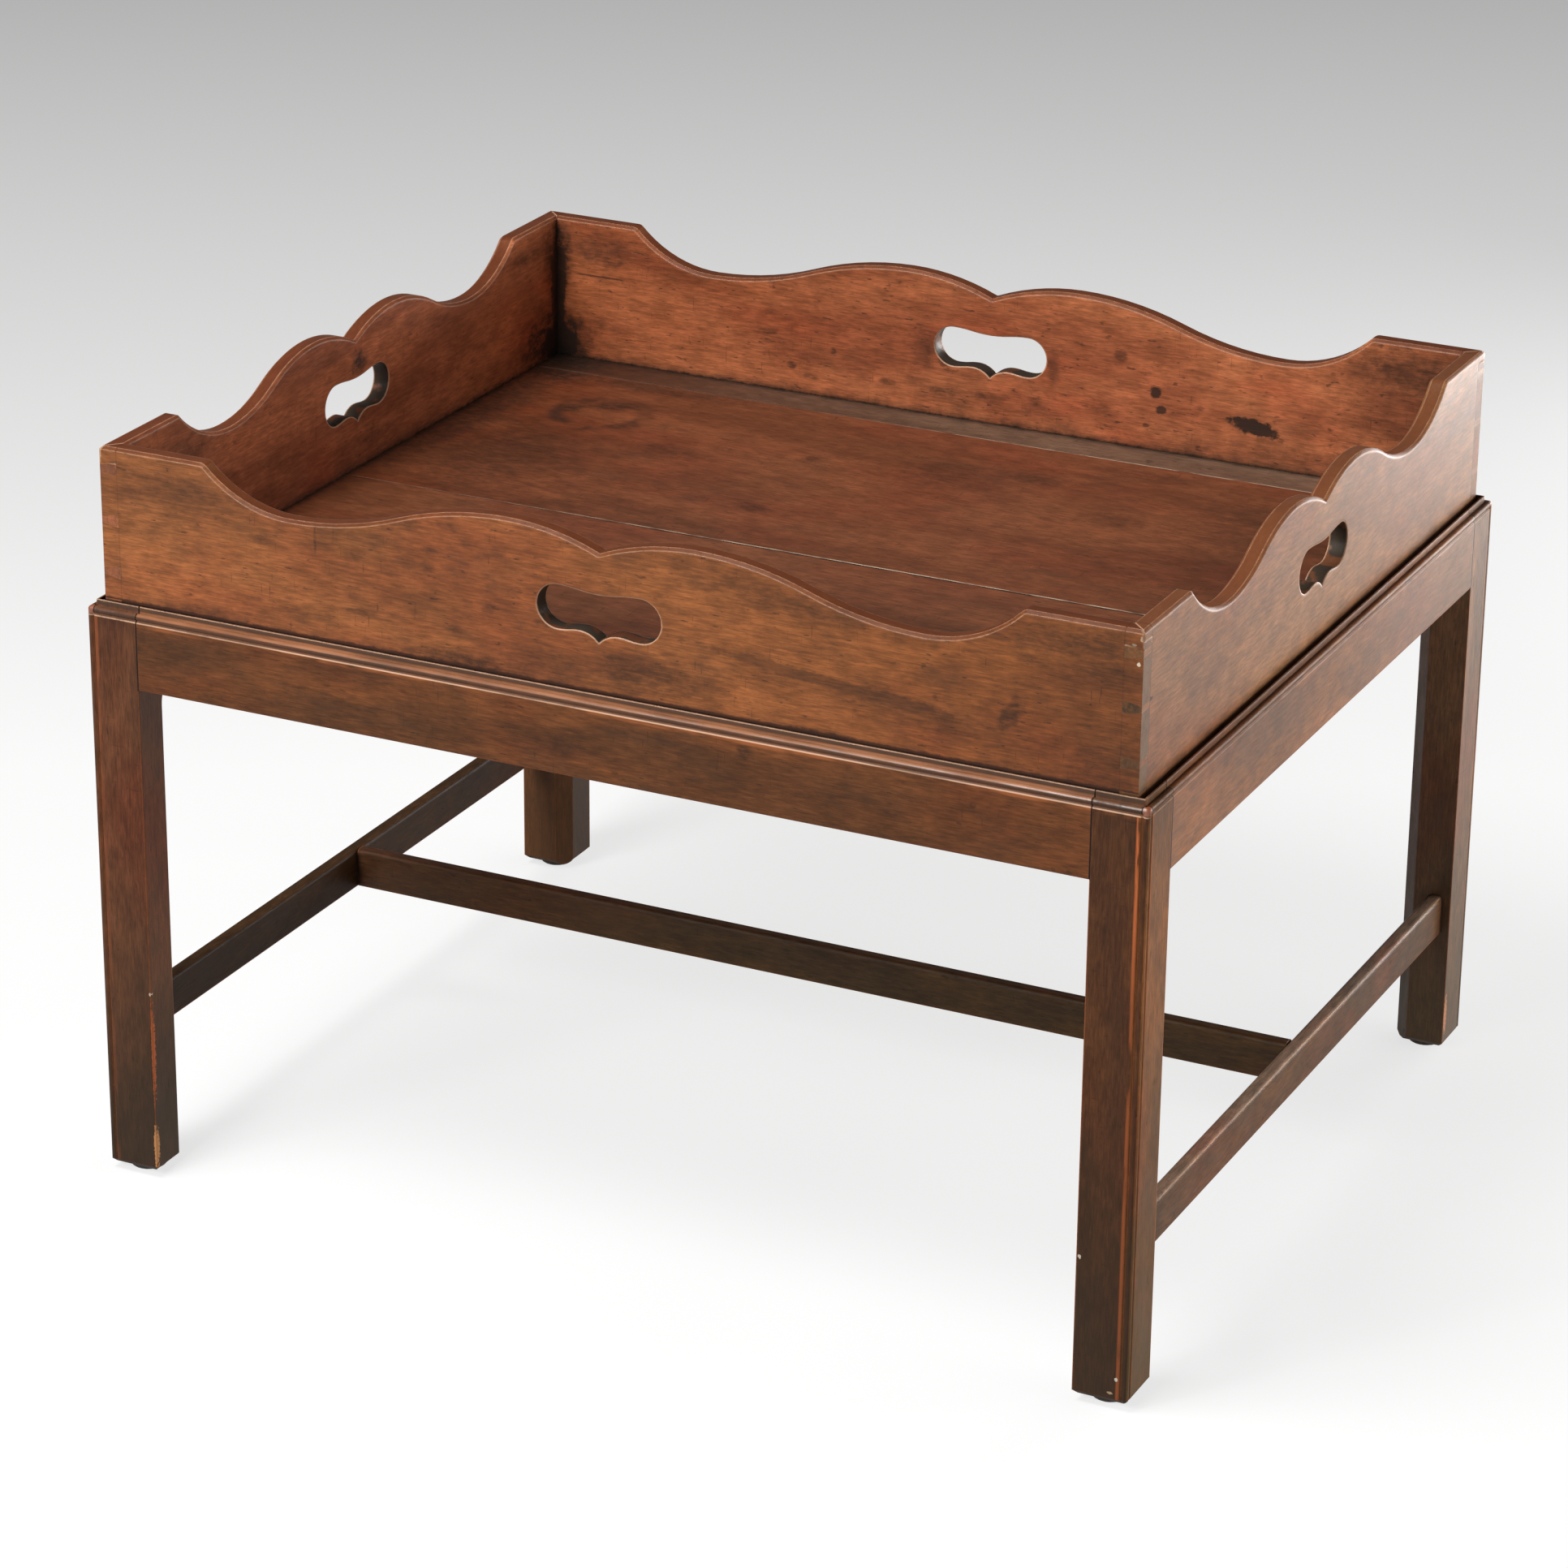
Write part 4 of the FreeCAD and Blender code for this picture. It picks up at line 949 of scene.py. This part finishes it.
def make_felt_glides(material):
    """Felt discs, rounded by wear, each with a well for the head of its nail."""
    sides = 72
    fuzz_size, fuzz_scale = 0.00022, 900.0
    most_outward = 0.0001
    profile = ((0.0012, 0.0050), (0.0070, 0.0050), (0.0122, 0.0050), (0.0128, 0.0045), (0.0129, 0.0034),
               (0.0128, 0.0022), (0.0122, 0.0010), (0.0113, 0.0003), (0.0100, 0.0000), (0.0072, 0.0000),
               (0.0060, 0.0003), (0.0053, 0.0010), (0.0052, 0.0030), (0.0012, 0.0030))
    for name in ("front_left", "front_right", "back_left", "back_right"):
        low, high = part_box(f"glide_{name}")
        middle = (low + high) / 2
        points, faces = [], []
        for turn in range(sides):
            angle = 2 * math.pi * turn / sides
            for radius, height in profile:
                across = middle.x + radius * math.cos(angle)
                along = middle.y + radius * math.sin(angle)
                point = Vector((across, along, height))
                push = noise.noise(point * fuzz_scale) * fuzz_size
                inward = Vector((middle.x - point.x, middle.y - point.y, 0)).normalized()
                point += inward * max(push, -most_outward)
                points.append(point)
        count = len(profile)
        for turn in range(sides):
            start, following = turn * count, (turn + 1) % sides * count
            for index in range(count):
                after = (index + 1) % count
                faces.append((start + index, following + index, following + after, start + after))
        mesh = bpy.data.meshes.new(f"felt_{name}")
        mesh.from_pydata(points, [], faces)
        for polygon in mesh.polygons:
            polygon.use_smooth = True
        mesh.materials.append(material)
        piece = bpy.data.objects.new(f"felt_{name}", mesh)
        bpy.context.scene.collection.objects.link(piece)
        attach(piece, "stand")
        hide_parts(f"glide_{name}")


def make_floor():
    size = FLOOR_HALF_SIZE
    mesh = bpy.data.meshes.new("studio_floor")
    points = [(-size, -size, 0), (size, -size, 0), (size, size, 0), (-size, size, 0)]
    mesh.from_pydata(points, [], [(0, 1, 2, 3)])
    mesh.materials.append(make_floor_material())
    floor = bpy.data.objects.new("studio_floor", mesh)
    bpy.context.scene.collection.objects.link(floor)


def make_lamps():
    for name, place, target, width, height, watts in LAMPS:
        lamp = bpy.data.lights.new(name, "AREA")
        lamp.shape = "RECTANGLE"
        lamp.size = width
        lamp.size_y = height
        lamp.energy = watts
        box = bpy.data.objects.new(name, lamp)
        box.location = place
        box.rotation_mode = "QUATERNION"
        box.rotation_quaternion = (Vector(target) - Vector(place)).to_track_quat("-Z", "Y")
        box.visible_camera = False
        bpy.context.scene.collection.objects.link(box)


def make_world():
    """Dim warm light all round, pale where the camera sees past the floor's edge."""
    world = bpy.data.worlds.new("studio")
    world.use_nodes = True
    links = world.node_tree.links
    background = world.node_tree.nodes["Background"]
    background.inputs["Color"].default_value = WORLD_COLOUR
    path = world.node_tree.nodes.new("ShaderNodeLightPath")
    mirrored = world.node_tree.nodes.new("ShaderNodeMath")
    mirrored.operation = "MAXIMUM"
    links.new(path.outputs["Is Glossy Ray"], mirrored.inputs[0])
    links.new(path.outputs["Is Transmission Ray"], mirrored.inputs[1])
    seen = world.node_tree.nodes.new("ShaderNodeMath")
    seen.operation = "MULTIPLY_ADD"
    seen.inputs[1].default_value = WORLD_MIRRORED_SHARE
    links.new(mirrored.outputs[0], seen.inputs[0])
    links.new(path.outputs["Is Camera Ray"], seen.inputs[2])
    strength = world.node_tree.nodes.new("ShaderNodeMapRange")
    strength.inputs["To Min"].default_value = WORLD_STRENGTH
    strength.inputs["To Max"].default_value = WORLD_SEEN_STRENGTH
    links.new(seen.outputs[0], strength.inputs["Value"])
    links.new(strength.outputs["Result"], background.inputs["Strength"])
    bpy.context.scene.world = world


def make_camera():
    data = bpy.data.cameras.new("camera")
    data.sensor_width = CAMERA_SENSOR_MM
    data.lens = CAMERA_LENS_MM
    camera = bpy.data.objects.new("camera", data)
    camera.location = CAMERA_PLACE
    camera.rotation_euler = [math.radians(angle) for angle in CAMERA_TURN_DEGREES]
    bpy.context.scene.collection.objects.link(camera)
    bpy.context.scene.camera = camera
    bpy.context.scene.view_settings.view_transform = "Standard"


make_camera()
make_floor()
make_lamps()
make_world()
dress_tray_front()
dress_tray_back()
dress_tray_ends()
dress_tray_floor()
dress_legs()
dress_rails()
dress_stretchers()
make_felt_glides(make_felt())
iron = make_iron()
dress("tray_floor_nails", iron)
dress("glide_nails", iron)
